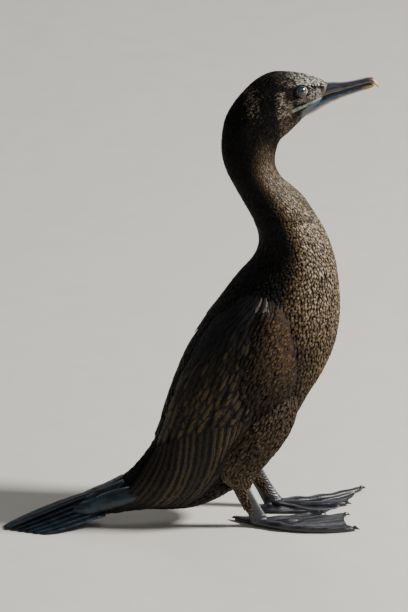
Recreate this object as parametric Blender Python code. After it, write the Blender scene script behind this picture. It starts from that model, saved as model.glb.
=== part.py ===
"""A life-size still model of a standing cormorant, facing +X, on the floor z = 0."""

import math
import random

import bmesh
import bpy
import numpy as np

MM = 0.001  # the sizes below are in millimetres, and the meshes are in metres
GAP = 0.3  # between two pieces that touch
RIGHT, LEFT = -1, 1  # the sign of y on each side of the bird

# Sections of the body from the bill's base over the crown and down the neck to the tail.
# Each row: x and z of the upper or rear edge, x and z of the lower or front edge,
# half width, and how far the widest place shifts towards the upper or rear edge.
BODY = np.array([
    (45, 391, 33, 368, 7.0, 0.00),  # 0, base of the bill
    (34, 396, 25, 361, 10.5, 0.10),  # 1, forehead
    (22, 400, 17, 354, 12.8, 0.15),  # 2, eye
    (9, 402, 11, 348, 14.2, 0.12),  # 3, crown
    (-4, 402, 6, 344, 15.2, 0.08),  # 4
    (-17, 396, 3, 341, 16.2, 0.00),  # 5, back of the head
    (-28, 386, 1, 337, 17.2, 0.00),  # 6, nape
    (-37, 375, 0, 333, 17.8, 0.00),  # 7
    (-44, 362, -1, 328, 18.2, 0.00),  # 8
    (-47, 346, -1, 321, 18.4, 0.00),  # 9, upper neck
    (-47, 330, 1, 314, 18.6, 0.00),  # 10
    (-43, 315, 6, 306, 19.0, 0.00),  # 11
    (-36, 301, 14, 299, 19.6, 0.00),  # 12
    (-28, 286, 24, 289, 21.0, 0.00),  # 13, lower neck
    (-20, 271, 33, 275, 23.5, 0.00),  # 14
    (-15.2, 257, 42.6, 258, 26.5, -0.05),  # 15
    (-15.4, 245, 49.3, 240, 30.0, -0.08),  # 16, base of the neck
    (-21, 233.3, 53, 222, 34.5, -0.06),  # 17
    (-32, 221, 55, 201, 39.0, 0.00),  # 18, shoulder
    (-44.3, 204.7, 54.8, 179.3, 44.0, 0.06),  # 19
    (-57.5, 185.3, 50.3, 156, 47.5, 0.10),  # 20, breast
    (-69, 165.3, 41, 134.2, 49.5, 0.12),  # 21
    (-79.5, 144.5, 28.7, 114.4, 50.0, 0.12),  # 22
    (-88, 123, 17.2, 94.4, 49.0, 0.10),  # 23, belly
    (-95, 102.6, 5, 76, 46.0, 0.08),  # 24
    (-100.7, 83.1, -14, 48, 41.0, 0.08),  # 25
    (-106.5, 68.7, -42, 26, 35.0, 0.08),  # 26, rump
    (-116, 57.2, -69, 14.5, 29.0, 0.05),  # 27
    (-126.4, 47.2, -93, 12.5, 23.0, 0.00),  # 28
    (-137.5, 39.3, -114, 13.5, 19.0, 0.00),  # 29, root of the tail
    (-148, 28, -125, 7, 17.0, 0.00),  # 30, where the folded wings' tips would close
], float)
HEAD_ENDS, NECK_SPLIT, NECK_ENDS, TORSO_ENDS = 6.0, 11.0, 16.0, 29.0
SECTION_GAP = 0.075  # sections between two nodes, at least GAP everywhere on the cut

# The folded wing lies in the body's own outline: its section numbers, and for each of them
# the angle round the body from the back where it starts and ends, and its thickness.
WING_ROWS = np.array([
    (18.2, 46, 60, 2.5),
    (18.5, 39, 71, 4.0),
    (19.0, 30, 79, 5.5),
    (20.0, 15, 89, 7.0),
    (21.0, 7, 100, 7.5),
    (22.0, 4, 105, 7.5),
    (23.0, 3, 103, 7.0),
    (24.0, 3, 99, 6.5),
    (25.0, 3, 99, 5.5),
    (26.0, 5, 107, 4.5),
    (26.6, 10, 116, 4.0),
    (27.2, 19, 126, 3.4),
    (27.8, 31, 131, 3.0),
    (28.4, 45, 135, 2.5),
], float)
WING_BEYOND = (29.3, 64, 140, 1.4)  # the hollow goes on under the wing's free tips
WING_RAISE = 0.6  # the wing's core stands proud of the body, and its feathers lie on that
WING_ACROSS = 7  # spaces across the wing's core
EDGE_TURN = 9  # degrees that its edges may turn between two sections

# Feathers of the wing, from the flight feathers up to the shoulder. Each tier: how many lie
# side by side, their length in sections, the sections of their tips at the back edge and
# at the lower edge, the width they take as shares, and how far their tips stand out.
COVERT_TIERS = (
    (8, 1.6, 25.5, 22.7, 0.06, 0.93, 2.0),
    (7, 1.5, 24.5, 21.8, 0.11, 0.91, 2.1),
    (6, 1.5, 23.5, 21.0, 0.07, 0.92, 2.2),
    (6, 1.4, 22.4, 20.3, 0.12, 0.90, 2.2),
    (4, 1.3, 21.3, 19.6, 0.14, 0.86, 2.2),
)
TIER_SHIFT = 0.4  # every second tier starts this much of a feather further on
COVERT_RISE = -0.5  # of a covert's root, which so lies in the core
FLIGHT_FEATHERS, FLIGHT_SHARES = 12, (0.05, 0.96)
FLIGHT_ARC = 76  # mm round the body that the flight feathers share
FLIGHT_COVERED = 0.6  # sections of their length that lie under the lowest coverts
FLIGHT_RISE = (0.3, 1.7)  # at the root and at the tip
# Root as a share of the wing's width, then the section and the angle of the tip
FLIGHT_TIPS = np.array([
    (0.05, 29.9, 86), (0.13, 29.8, 105), (0.21, 29.7, 122), (0.30, 29.4, 138), (0.38, 28.9, 138), (0.46, 28.4, 133),
    (0.55, 27.9, 129), (0.63, 27.4, 127), (0.71, 26.95, 121), (0.80, 26.5, 112), (0.88, 26.0, 104), (0.96, 25.4, 97),
], float)
FLIGHT_BEND = 1.5  # above 1, a flight feather turns down late along its length
VANE_SPREAD = 0.65  # half width of a feather, as a share of the space from one to the next
VANE_ROLL = 0.45  # the edge nearer the belly stands out over the next feather by twice this
VANE_THICK = 0.8
VANE_MARGIN = 1.6  # between a feather and the edge of the core
VANE_SINK = 2.2  # how far a feather that lies on the core reaches into it
COVERT_SHAPE = ((0.0, 0.75), (0.45, 1.0), (0.8, 0.86), (1.0, 0.34))
FLIGHT_SHAPE = ((0.0, 0.8), (0.3, 1.0), (0.6, 1.0), (0.8, 0.92), (0.94, 0.7), (1.0, 0.3))
SEED = 7

# Eye, lid and bill
EYE = (20.5, 12.6, 387.0)
EYE_RADIUS = 4.9
EYE_SINK = 2.2
LID_RING, LID_TUBE = 4.9, 0.9
# x, lower edge, upper edge, half width
UPPER_BILL = np.array([
    (24, 374.5, 384.0, 4.6),
    (36, 377.6, 388.0, 5.6),
    (46, 380.9, 390.6, 5.0),
    (55, 383.0, 390.3, 4.2),
    (64, 385.4, 391.0, 3.7),
    (73, 387.6, 392.6, 3.3),
    (79, 388.8, 393.8, 3.1),
    (83.5, 388.0, 393.3, 2.8),
    (86.8, 385.8, 390.8, 2.2),
    (88.9, 384.0, 387.8, 1.3),
    (89.6, 383.2, 385.4, 0.6),
], float)
LOWER_BILL = np.array([
    (15, 361.8, 366.6, 4.6),
    (22, 361.4, 369.6, 6.4),
    (30, 363.4, 373.1, 6.6),
    (38, 367.6, 376.9, 5.9),
    (46, 371.8, 379.5, 4.9),
    (56, 376.1, 382.0, 4.0),
    (66, 379.6, 384.4, 3.4),
    (76, 382.4, 386.6, 2.8),
    (82, 384.2, 387.4, 2.2),
    (84.4, 385.4, 387.0, 1.2),
], float)

# Legs: sections of the near thigh as z, x, y, half depth and half width. The other
# foot stands further forward, and the thigh leans after it.
THIGH_ROWS = np.array([
    (120, 0, 33, 14, 8),
    (107, -8, 35, 21, 14),
    (92, -16, 36, 24, 17),
    (77, -25, 35, 24, 17),
    (64, -33, 34, 21.5, 14.5),
    (52, -38, 32, 17, 11.5),
    (43, -38, 31, 12, 8.5),
    (37, -36, 29, 8, 6.2),
], float)
LEAN_BEND = 1.6  # above 1, a thigh leans most near the ankle
ANKLE = {RIGHT: (-34, 29), LEFT: (-17, 29)}
HEEL = {RIGHT: (-18.5, 25), LEFT: (0, 27)}
TARSUS_TOP, TARSUS_FOOT = THIGH_ROWS[-1][0] - GAP, 9.5
TARSUS_WIDER = {RIGHT: 0.96, LEFT: 1.12}
TARSUS_ROWS = ((0.0, 8.0, 5.2), (0.3, 7.4, 4.2), (0.7, 7.2, 4.0), (1.0, 8.0, 5.0))

# Toes, from the outer one inwards: length to the claw, half width at the root and the tip,
# height at the root and the tip, and for each foot their directions in degrees, outwards
# positive, and how far they curve sideways at half their length
TOES = (
    ("outer", 84, 4.8, 2.8, 8.5, 4.8),
    ("middle", 72, 4.6, 2.6, 8.5, 4.6),
    ("inner", 50, 4.2, 2.5, 8.0, 4.4),
    ("hind", 26, 3.8, 2.3, 6.5, 4.0),
)
TOE_TURNS = {RIGHT: (17, -10, -22, -133), LEFT: (20, -7, -36, -130)}
TOE_STRETCH = {RIGHT: (1, 1.1, 1, 1), LEFT: (1.06, 0.91, 1, 1)}  # the far middle toe is curled, so it lies shorter
TOE_BOWS = {RIGHT: (-10, -5, -3, 0), LEFT: (-8, -4, -2, 0)}
CLAW_LENGTH, CLAW_DROP = 4.2, 1.4
CLAW_WIDTH, CLAW_DEPTH, CLAW_LEVEL = 0.62, 0.42, 0.62  # as shares of the toe's tip
WEB_LOW, WEB_HIGH, WEB_BAY = 0.4, 2.0, 0.04
HEEL_RADIUS = 7.4

# Tail: x, middle height, half height and half width of the core that its feathers grow from
TAIL_ROWS = np.array([
    (-149, 22.5, 12.0, 14.5),
    (-160, 20.5, 9.5, 15.0),
    (-171, 18.5, 5.5, 14.0),
    (-179, 17.5, 2.0, 10.0),
], float)
TAIL_INSET = 1.5  # its root lies this far inside the body's outline, under the wings' tips
TAIL_PAIRS = 6
TAIL_ROOT_X, TAIL_TIP_X, TAIL_TIP_STEP = -150.0, -237.0, 5.8
TAIL_ROOT_Z, TAIL_ROOT_DROP, TAIL_TIP_Z = 32.0, 3.7, 1.2
TAIL_ROOT_Y, TAIL_TIP_Y = (1.5, 1.9), (2.7, 3.4)  # of the first pair, and the step to the next
TAIL_ROLL = ((6.0, 4.0), (3.0, 2.2))  # degrees at root and tip: the first pair's, and the step
TAIL_HALF_WIDTH, TAIL_THICK = 6.6, 0.8
TAIL_SHAPE = ((0.0, 0.55), (0.3, 0.85), (0.62, 1.0), (0.85, 0.82), (0.96, 0.5), (1.0, 0.2))

COLOURS = {
    "plumage": ((0.030, 0.023, 0.018), 0.62),
    "wing": ((0.024, 0.021, 0.016), 0.50),
    "tail": ((0.012, 0.015, 0.019), 0.45),
    "bill": ((0.115, 0.105, 0.100), 0.40),
    "skin": ((0.020, 0.020, 0.023), 0.42),
    "claw": ((0.018, 0.017, 0.017), 0.35),
    "eye": ((0.060, 0.130, 0.140), 0.06),
}


def clear_scene():
    for obj in list(bpy.data.objects):
        bpy.data.objects.remove(obj)
    for group in list(bpy.data.collections):
        bpy.data.collections.remove(group)


def material(name):
    """One Principled material for each finish."""
    found = bpy.data.materials.get(name)
    if found:
        return found
    colour, rough = COLOURS[name]
    made = bpy.data.materials.new(name)
    made.use_nodes = True
    shader = made.node_tree.nodes["Principled BSDF"]
    shader.inputs["Base Color"].default_value = (*colour, 1)
    shader.inputs["Roughness"].default_value = rough
    shader.inputs["Metallic"].default_value = 0
    return made


def between(rows, t):
    """The row at place t of a table, on a smooth curve through its rows."""
    last = len(rows) - 1
    k = min(max(int(math.floor(t)), 0), last - 1)
    u = t - k
    a, b, c, d = rows[max(k - 1, 0)], rows[k], rows[k + 1], rows[min(k + 2, last)]
    return b + 0.5 * u * (c - a + u * (2 * a - 5 * b + 4 * c - d + u * (3 * (b - c) + d - a)))


def along(rows, x):
    """The other columns of a table where its first column is x."""
    return np.array([np.interp(x, rows[:, 0], rows[:, n]) for n in range(1, rows.shape[1])])


def body_point(t, degrees, out=0.0):
    """A point on the body, from section t, the angle round it from the back, and the distance outside."""
    bx, bz, fx, fz, half_width, shift = between(BODY, t)
    middle = np.array([(bx + fx) / 2, 0, (bz + fz) / 2])
    back = np.array([(bx - fx) / 2, 0, (bz - fz) / 2])
    deep = np.linalg.norm(back)
    c, s = math.cos(math.radians(degrees)), math.sin(math.radians(degrees))
    across = np.array([0, 1.0, 0])
    normal = c / deep * back / deep + s / half_width * across
    normal /= np.linalg.norm(normal)
    return middle + back * c + across * half_width * s * (1 + shift * c) + out * normal


def arc(t, degrees):
    """Millimetres round the body for one degree of its angle."""
    return np.linalg.norm(body_point(t, degrees + 0.5) - body_point(t, degrees - 0.5))


def on_side(points, side):
    """Points of the left side, mirrored for the right one."""
    return [np.array([p[0], side * p[1], p[2]]) for p in points]


def mesh_object(name, mesh, finish):
    obj = bpy.data.objects.new(name, mesh)
    bpy.context.scene.collection.objects.link(obj)
    if finish:
        mesh.materials.clear()
        mesh.materials.append(material(finish))
    return obj


def loft(name, rings, finish=None):
    """A closed solid through rings of equally many points, split alike on facing sides."""
    bm = bmesh.new()
    loops = [[bm.verts.new(p * MM) for p in ring] for ring in rings]
    count = len(loops[0])
    for one, two in zip(loops, loops[1:]):
        for i in range(count):
            j = (i + 1) % count
            if i < count / 2:
                bm.faces.new((one[i], one[j], two[j]))
                bm.faces.new((one[i], two[j], two[i]))
            else:
                bm.faces.new((one[i], one[j], two[i]))
                bm.faces.new((one[j], two[j], two[i]))
    bm.faces.new(loops[0])
    bm.faces.new(loops[-1])
    bmesh.ops.triangulate(bm, faces=[f for f in bm.faces if len(f.verts) > 4])
    bmesh.ops.recalc_face_normals(bm, faces=bm.faces)
    mesh = bpy.data.meshes.new(name)
    bm.to_mesh(mesh)
    bm.free()
    return mesh_object(name, mesh, finish)


def combine(obj, others, operation, solver="EXACT"):
    """Joins others to obj, or cuts them from it, keeps the largest closed surface and drops the rest."""
    tools = bpy.data.collections.new("tools")
    bpy.context.scene.collection.children.link(tools)
    for other in others:
        bpy.context.scene.collection.objects.unlink(other)
        tools.objects.link(other)
    cut = obj.modifiers.new("combine", "BOOLEAN")
    cut.operation = operation
    cut.operand_type = "COLLECTION"
    cut.collection = tools
    cut.solver = solver
    bpy.context.view_layer.update()
    graph = bpy.context.evaluated_depsgraph_get()
    made = bpy.data.meshes.new_from_object(obj.evaluated_get(graph))
    obj.modifiers.clear()
    finish = list(obj.data.materials)
    obj.data = made
    made.materials.clear()
    for kept in finish:
        made.materials.append(kept)
    made.polygons.foreach_set("material_index", [0] * len(made.polygons))
    for other in list(tools.objects):
        bpy.data.objects.remove(other)
    bpy.data.collections.remove(tools)
    keep_largest(obj)
    return obj


def keep_largest(obj):
    """Leaves only the largest closed surface of a mesh."""
    bm = bmesh.new()
    bm.from_mesh(obj.data)
    bmesh.ops.remove_doubles(bm, verts=bm.verts, dist=0.002 * MM)
    islands, seen = [], set()
    for start in bm.faces:
        if start in seen:
            continue
        island, front = [], [start]
        seen.add(start)
        while front:
            face = front.pop()
            island.append(face)
            for edge in face.edges:
                for other in edge.link_faces:
                    if other not in seen:
                        seen.add(other)
                        front.append(other)
        islands.append(island)
    islands.sort(key=lambda faces: sum(f.calc_area() for f in faces))
    for island in islands[:-1]:
        bmesh.ops.delete(bm, geom=island, context="FACES")
    loose = [v for v in bm.verts if not v.link_faces]
    bmesh.ops.delete(bm, geom=loose, context="VERTS")
    bm.to_mesh(obj.data)
    bm.free()


def mirrored(obj, name):
    """The same piece on the other side of the bird."""
    bm = bmesh.new()
    bm.from_mesh(obj.data)
    for v in bm.verts:
        v.co.y = -v.co.y
    bmesh.ops.reverse_faces(bm, faces=bm.faces)
    mesh = bpy.data.meshes.new(name)
    bm.to_mesh(mesh)
    bm.free()
    for kept in obj.data.materials:
        mesh.materials.append(kept)
    return mesh_object(name, mesh, None)


def smooth(obj):
    obj.data.shade_smooth()
    obj.data.set_sharp_from_angle(angle=math.radians(50))


def body_solid(name, start, end, rings, around, finish=None, out=0.0):
    """A stretch of the body between two of its sections."""
    angles = np.linspace(0, 360, around, endpoint=False)
    places = np.linspace(start, end, rings)
    return loft(name, [[body_point(t, a, out) for a in angles] for t in places], finish)


def wing_rows():
    """The wing's rows, with more of them where its edges turn fast."""
    for one, two in zip(WING_ROWS, WING_ROWS[1:]):
        yield one
        if np.abs(two - one)[1:3].sum() > EDGE_TURN:
            yield (one + two) / 2
    yield WING_ROWS[-1]


def wing_shell(name, side, grow=0.0, finish=None):
    """The folded wing without its feathers' steps. A grown one cuts the hollow it lies in."""
    rings = []
    rows = [*wing_rows(), WING_BEYOND] if grow else wing_rows()
    for t, start, end, thick in rows:
        start -= 1.5 * grow / arc(t, start)
        end += 2.4 * grow / arc(t, end)
        angles = np.linspace(start, end, WING_ACROSS + 1)
        if t == WING_ROWS[0, 0]:
            t -= 0.08 * grow
        outer = [body_point(t, a, 6.0 if grow else WING_RAISE) for a in angles]
        inner = [body_point(t, a, -thick - 1.4 * grow) for a in angles[::-1]]
        rings.append(on_side(outer + inner, side))
    return loft(name, rings, finish)


def wing_cutters():
    return [wing_shell(f"wing_hollow_{side}", side, GAP) for side in (RIGHT, LEFT)]


def bill_ring(x, low, high, half, flat_on_top):
    """A section of one half of the bill, flat along the mouth and with a groove along its side."""
    shape = ((1.0, 0.0), (1.0, 0.30), (0.86, 0.46), (0.84, 0.60), (0.50, 0.90), (0.0, 1.0))
    shape = shape + tuple((-w, h) for w, h in shape[-2::-1]) + ((0.0, 0.0),)
    base, top = (high, low) if flat_on_top else (low, high)
    return [np.array([x, half * w, base + (top - base) * h]) for w, h in shape]


def bill_solid(name, table, flat_on_top, grow=0.0, finish=None):
    rings = []
    for x, low, high, half in table:
        rings.append(bill_ring(x, low - grow, high + grow, half + grow, flat_on_top))
    if grow:
        rings[0] = [p - np.array([grow, 0, 0]) for p in rings[0]]
        rings[-1] = [p + np.array([grow, 0, 0]) for p in rings[-1]]
    return loft(name, rings, finish)


def ball(name, centre, radius, finish=None, segments=16):
    bm = bmesh.new()
    bmesh.ops.create_uvsphere(bm, u_segments=segments, v_segments=segments // 2, radius=radius * MM)
    bmesh.ops.translate(bm, verts=bm.verts, vec=[c * MM for c in centre])
    mesh = bpy.data.meshes.new(name)
    bm.to_mesh(mesh)
    bm.free()
    return mesh_object(name, mesh, finish)


def lid(name, side):
    """The ring of skin round one eye, in the plane of the cheek."""
    bpy.ops.mesh.primitive_torus_add(
        major_radius=LID_RING * MM, minor_radius=LID_TUBE * MM, major_segments=16, minor_segments=5,
        location=[EYE[0] * MM, side * (EYE[1] + 0.4) * MM, EYE[2] * MM],
        rotation=(math.radians(90 - 8 * side), 0, math.radians(-7 * side)),
    )
    made = bpy.context.active_object
    made.name = name
    made.data.transform(made.matrix_world)
    made.matrix_world.identity()
    return made


def eye_place(side, sink=EYE_SINK):
    return (EYE[0], side * (EYE[1] - sink), EYE[2])


def make_head():
    head = body_solid("head", 0, HEAD_ENDS, 14, 22, "plumage")
    combine(head, [lid(f"lid_{side}", side) for side in (RIGHT, LEFT)], "UNION")
    sockets = [ball(f"socket_{side}", eye_place(side), EYE_RADIUS + GAP) for side in (RIGHT, LEFT)]
    beds = [
        bill_solid("upper_bed", UPPER_BILL, False, GAP),
        bill_solid("lower_bed", LOWER_BILL, True, GAP),
    ]
    combine(head, sockets + beds, "DIFFERENCE")
    bill_solid("bill_upper", UPPER_BILL, False, finish="bill")
    bill_solid("bill_lower", LOWER_BILL, True, finish="bill")
    for side, word in ((RIGHT, "right"), (LEFT, "left")):
        ball(f"eye_{word}", eye_place(side), EYE_RADIUS, "eye")


def make_neck():
    body_solid("neck_upper", HEAD_ENDS + SECTION_GAP, NECK_SPLIT, 12, 24, "plumage")
    body_solid("neck_lower", NECK_SPLIT + SECTION_GAP, NECK_ENDS, 10, 24, "plumage")


def torso_solid(name, finish=None, out=0.0):
    return body_solid(name, NECK_ENDS + SECTION_GAP, TORSO_ENDS, 20, 26, finish, out)


def make_torso():
    torso = torso_solid("torso", "plumage")
    combine(torso, wing_cutters(), "DIFFERENCE")


def in_row(share):
    """The angle of a feather that keeps its share of the wing's width."""
    def aim(t, _):
        start, end, _ = along(WING_ROWS, t)
        return start + (end - start) * share
    return aim


def wing_vane(side, root, tip, aim, half_width, rises, shape):
    """One feather, a thin blade on the core that hangs free where it passes the core's end."""
    rings = []
    for along_it, width in shape:
        t = root + (tip - root) * along_it
        middle = aim(t, along_it)
        reach = width * half_width / arc(t, middle)
        top = rises[0] + (rises[1] - rises[0]) * along_it
        free = min(max((t - WING_ROWS[-1, 0] + 0.5) / 0.5, 0.0), 1.0)
        deep = VANE_SINK + (VANE_THICK - VANE_SINK) * free
        ring = []
        low_edge, high_edge = middle - reach, middle + reach
        if t < WING_ROWS[-1, 0]:
            margin = VANE_MARGIN / arc(t, middle)
            start, end, _ = along(WING_ROWS, t)
            low_edge, high_edge = max(low_edge, start + margin), min(high_edge, end - margin)
        for turn, height in ((high_edge, top + VANE_ROLL), (low_edge, top - VANE_ROLL)):
            ring.append(body_point(t, turn, height))
        for turn, height in ((low_edge, top - VANE_ROLL - deep), (high_edge, top + VANE_ROLL - deep)):
            ring.append(body_point(t, turn, height))
        rings.append(on_side(ring, side))
    return loft("vane", rings)


def flight_feathers(side, chance):
    vanes = []
    back_tip, low_tip = COVERT_TIERS[0][2:4]
    for share in np.linspace(*FLIGHT_SHARES, FLIGHT_FEATHERS):
        tip, last = along(FLIGHT_TIPS, share)
        tip += chance.uniform(-0.08, 0.08)
        root = back_tip + (low_tip - back_tip) * share - FLIGHT_COVERED
        first = in_row(share)(root, 0)
        half_width = VANE_SPREAD * FLIGHT_ARC / FLIGHT_FEATHERS

        def aim(_, along_it):
            return first + (last - first) * along_it ** FLIGHT_BEND
        vanes.append(wing_vane(side, root, tip, aim, half_width, FLIGHT_RISE, FLIGHT_SHAPE))
    return vanes


def coverts(side, chance):
    vanes = []
    for number, (count, length, back_tip, low_tip, first, last, rise) in enumerate(COVERT_TIERS):
        for k in range(count):
            place = k + TIER_SHIFT * (number % 2)
            share = first + (last - first) * place / (count - 1 + TIER_SHIFT)
            tip = back_tip + (low_tip - back_tip) * share + chance.uniform(-0.07, 0.07)
            start, end, _ = along(WING_ROWS, tip)
            spacing = (end - start) * (last - first) / count * arc(tip, (start + end) / 2)
            root = max(tip - length, WING_ROWS[0, 0] + 0.15)
            half_width, rises = VANE_SPREAD * spacing, (COVERT_RISE, rise)
            vanes.append(wing_vane(side, root, tip, in_row(share), half_width, rises, COVERT_SHAPE))
    return vanes


def make_wings():
    chance = random.Random(SEED)
    wing = wing_shell("wing_left", LEFT, finish="wing")
    combine(wing, flight_feathers(LEFT, chance) + coverts(LEFT, chance), "UNION", "MANIFOLD")
    mirrored(wing, "wing_right")


def thigh_rings(side):
    """The thigh's sections from the top down, leaning to the ankle of its own side."""
    lean = ANKLE[side][0] - THIGH_ROWS[-1, 1]
    top, low = THIGH_ROWS[0, 0], THIGH_ROWS[-1, 0]
    rings = []
    for z, x, y, deep, wide in THIGH_ROWS:
        x += lean * ((top - z) / (top - low)) ** LEAN_BEND
        turns = np.linspace(0, 2 * math.pi, 20, endpoint=False)
        ring = [np.array([x + deep * math.cos(a), y + wide * math.sin(a), z]) for a in turns]
        rings.append(on_side(ring, side))
    return rings


def make_leg(side, word):
    thigh = loft(f"thigh_{word}", thigh_rings(side), "plumage")
    hollow = wing_shell("wing_hollow", side, GAP)
    combine(thigh, [hollow, torso_solid("belly_hollow", out=1.4 * GAP)], "DIFFERENCE")
    make_tarsus(side, word)
    make_foot(side, word)


def make_tarsus(side, word):
    (ankle_x, ankle_y), (heel_x, heel_y) = ANKLE[side], HEEL[side]
    rings = []
    for share, deep, wide in TARSUS_ROWS:
        x = ankle_x + (heel_x - ankle_x) * share
        y = ankle_y + (heel_y - ankle_y) * share
        z = TARSUS_TOP + (TARSUS_FOOT - TARSUS_TOP) * share
        turns = np.linspace(0, 2 * math.pi, 12, endpoint=False)
        reach = deep * TARSUS_WIDER[side]
        ring = [np.array([x + reach * math.cos(a), y + wide * math.sin(a), z]) for a in turns]
        rings.append(on_side(ring, side))
    loft(f"tarsus_{word}", rings, "skin")


def toe_axis(side, turn):
    """The direction of a toe on the floor, with outwards positive."""
    a = math.radians(turn)
    return np.array([math.cos(a), side * math.sin(a), 0])


def toe_middle(start, axis, length, bow, share):
    """The middle of a toe at a share of its length, on its sideways curve."""
    across = np.array([-axis[1], axis[0], 0])
    return start + axis * length * share + across * bow * 4 * share * (1 - share)


def toe_rings(start, axis, bow, length, half, tip_half, high, tip_high, low=-1.5):
    across = np.array([-axis[1], axis[0], 0])
    rings = []
    for share in (0.0, 0.25, 0.5, 0.8, 1.0):
        knuckle = 1 + 0.10 * math.cos(share * 6 * math.pi) * (1 - share)
        w = (half + (tip_half - half) * share) * knuckle
        h = (high + (tip_high - high) * share ** 0.6) * knuckle
        middle = toe_middle(start, axis, length, bow, share)
        shape = ((1, low), (1, 0.4 * h), (0.5, 0.92 * h), (-0.5, 0.92 * h), (-1, 0.4 * h), (-1, low))
        rings.append([middle + across * w * a + np.array([0, 0, b]) for a, b in shape])
    return rings


def web(name, edges):
    """The skin between two toes, given as two lists of points, with a hollow front edge."""
    one, two = edges
    front = []
    for share in np.linspace(0, 1, 7):
        tip = one[-1] * (1 - share) + two[-1] * share
        front.append(one[0] + (tip - one[0]) * (1 - WEB_BAY * 4 * share * (1 - share)))
    outline = [*one[:-1], *front, *two[-2:0:-1]]
    return loft(name, [[np.array([p[0], p[1], z]) for p in outline] for z in (WEB_LOW, WEB_HIGH)])


def make_foot(side, word):
    heel = np.array([HEEL[side][0], side * HEEL[side][1], 0.0])
    pieces, edges = [], []
    lies = zip(TOES, TOE_STRETCH[side], TOE_TURNS[side], TOE_BOWS[side])
    for (toe, length, half, tip_half, high, tip_high), stretch, turn, bow in lies:
        length *= stretch
        axis = toe_axis(side, turn)
        pieces.append(loft(f"{toe}_toe", toe_rings(heel, axis, bow, length, half, tip_half, high, tip_high)))
        edges.append([toe_middle(heel, axis, length - 2.5, bow, share) for share in (0, 0.3, 0.6, 1)])
        make_claw(f"claw_{word}_{toe}", heel + axis * (length + GAP), axis, tip_half, tip_high)
    for pair in zip(edges, edges[1:]):
        pieces.append(web("web", pair))
    turns = np.linspace(0, 2 * math.pi, 14, endpoint=False)
    boss = [
        [heel + np.array([r * math.cos(a), 0.75 * r * math.sin(a), z]) for a in turns]
        for r, z in ((HEEL_RADIUS, -1.2), (HEEL_RADIUS + 0.6, 4.0), (HEEL_RADIUS, TARSUS_FOOT - GAP))
    ]
    foot = loft(f"foot_{word}", boss, "skin")
    combine(foot, pieces, "UNION", "MANIFOLD")
    combine(foot, [floor_block()], "DIFFERENCE", "MANIFOLD")


def floor_block():
    bpy.ops.mesh.primitive_cube_add(size=1, location=(0, 0, -0.05))
    block = bpy.context.active_object
    block.data.transform(block.matrix_world)
    block.matrix_world.identity()
    for v in block.data.vertices:
        v.co.z = 0.0 if v.co.z > -0.05 else -0.02
    return block


def make_claw(name, root, axis, half, high):
    across = np.array([-axis[1], axis[0], 0])
    rings = []
    for share in (0.0, 0.35, 0.7, 1.0):
        slim = (1 - share) ** 0.75 + 0.10
        middle = root + axis * CLAW_LENGTH * share
        z = high * CLAW_LEVEL - CLAW_DROP * share ** 2
        turns = np.linspace(0, 2 * math.pi, 8, endpoint=False)
        w, h = half * CLAW_WIDTH * slim, high * CLAW_DEPTH * slim
        rings.append([
            middle + across * w * math.cos(a) + np.array([0, 0, z + h * math.sin(a)]) for a in turns
        ])
    loft(name, rings, "claw")


def tail_vane(pair, side):
    """One stiff tail feather. The middle pair is the longest and lies on top of the others."""
    tip_x = TAIL_TIP_X + TAIL_TIP_STEP * pair
    root_z = TAIL_ROOT_Z - TAIL_ROOT_DROP * pair
    rings = []
    for share, width in TAIL_SHAPE:
        x = TAIL_ROOT_X + (tip_x - TAIL_ROOT_X) * share
        (root_y, root_step), (tip_y, tip_step) = TAIL_ROOT_Y, TAIL_TIP_Y
        y = (root_y + root_step * pair) * (1 - share) + (tip_y + tip_step * pair) * share
        z = TAIL_TIP_Z + (root_z - TAIL_TIP_Z) * (1 - share ** 1.25)
        (root_roll, root_more), (tip_roll, tip_more) = TAIL_ROLL
        roll = (root_roll + root_more * pair) * (1 - share) + (tip_roll + tip_more * pair) * share
        across = np.array([0, math.cos(math.radians(roll)), -math.sin(math.radians(roll))])
        up = np.array([0.15, math.sin(math.radians(roll)), math.cos(math.radians(roll))])
        middle, half = np.array([x, y, z]), TAIL_HALF_WIDTH * width
        top, low = middle + up * TAIL_THICK / 2, middle - up * TAIL_THICK / 2
        rings.append([top + across * half, top - across * half, low - across * half, low + across * half])
    return loft("vane", [on_side(ring, side) for ring in rings])


def make_tail():
    turns = np.linspace(0, 360, 20, endpoint=False)
    rings = [[body_point(TORSO_ENDS + 0.03, a, -TAIL_INSET) for a in turns]]
    for x, z, high, wide in TAIL_ROWS:
        rings.append([
            np.array([x, wide * math.sin(math.radians(a)), z + high * math.cos(math.radians(a))])
            for a in turns
        ])
    tail = loft("tail", rings, "tail")
    vanes = [tail_vane(pair, side) for pair in range(TAIL_PAIRS) for side in (RIGHT, LEFT)]
    combine(tail, vanes, "UNION", "MANIFOLD")
    combine(tail, [floor_block()], "DIFFERENCE", "MANIFOLD")


def stand_on_origin():
    """Hangs every node on one empty and puts the middle of their joint box on the origin."""
    nodes = [o for o in bpy.context.scene.objects if o.type == "MESH"]
    corners = np.array([v.co for o in nodes for v in o.data.vertices])
    middle = (corners.min(0) + corners.max(0)) / 2
    bird = bpy.data.objects.new("cormorant", None)
    bpy.context.scene.collection.objects.link(bird)
    bird.location = (-middle[0], -middle[1], -corners.min(0)[2])
    group = bpy.data.collections.new("cormorant")
    bpy.context.scene.collection.children.link(group)
    for node in nodes:
        node.parent = bird
        smooth(node)
        bpy.context.scene.collection.objects.unlink(node)
        group.objects.link(node)


def main():
    clear_scene()
    make_head()
    make_neck()
    make_torso()
    make_wings()
    for side, word in ((RIGHT, "right"), (LEFT, "left")):
        make_leg(side, word)
    make_tail()
    stand_on_origin()


main()
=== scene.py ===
import functools
import math

import bmesh
import bpy
import numpy as np
from mathutils import Matrix, Vector


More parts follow.
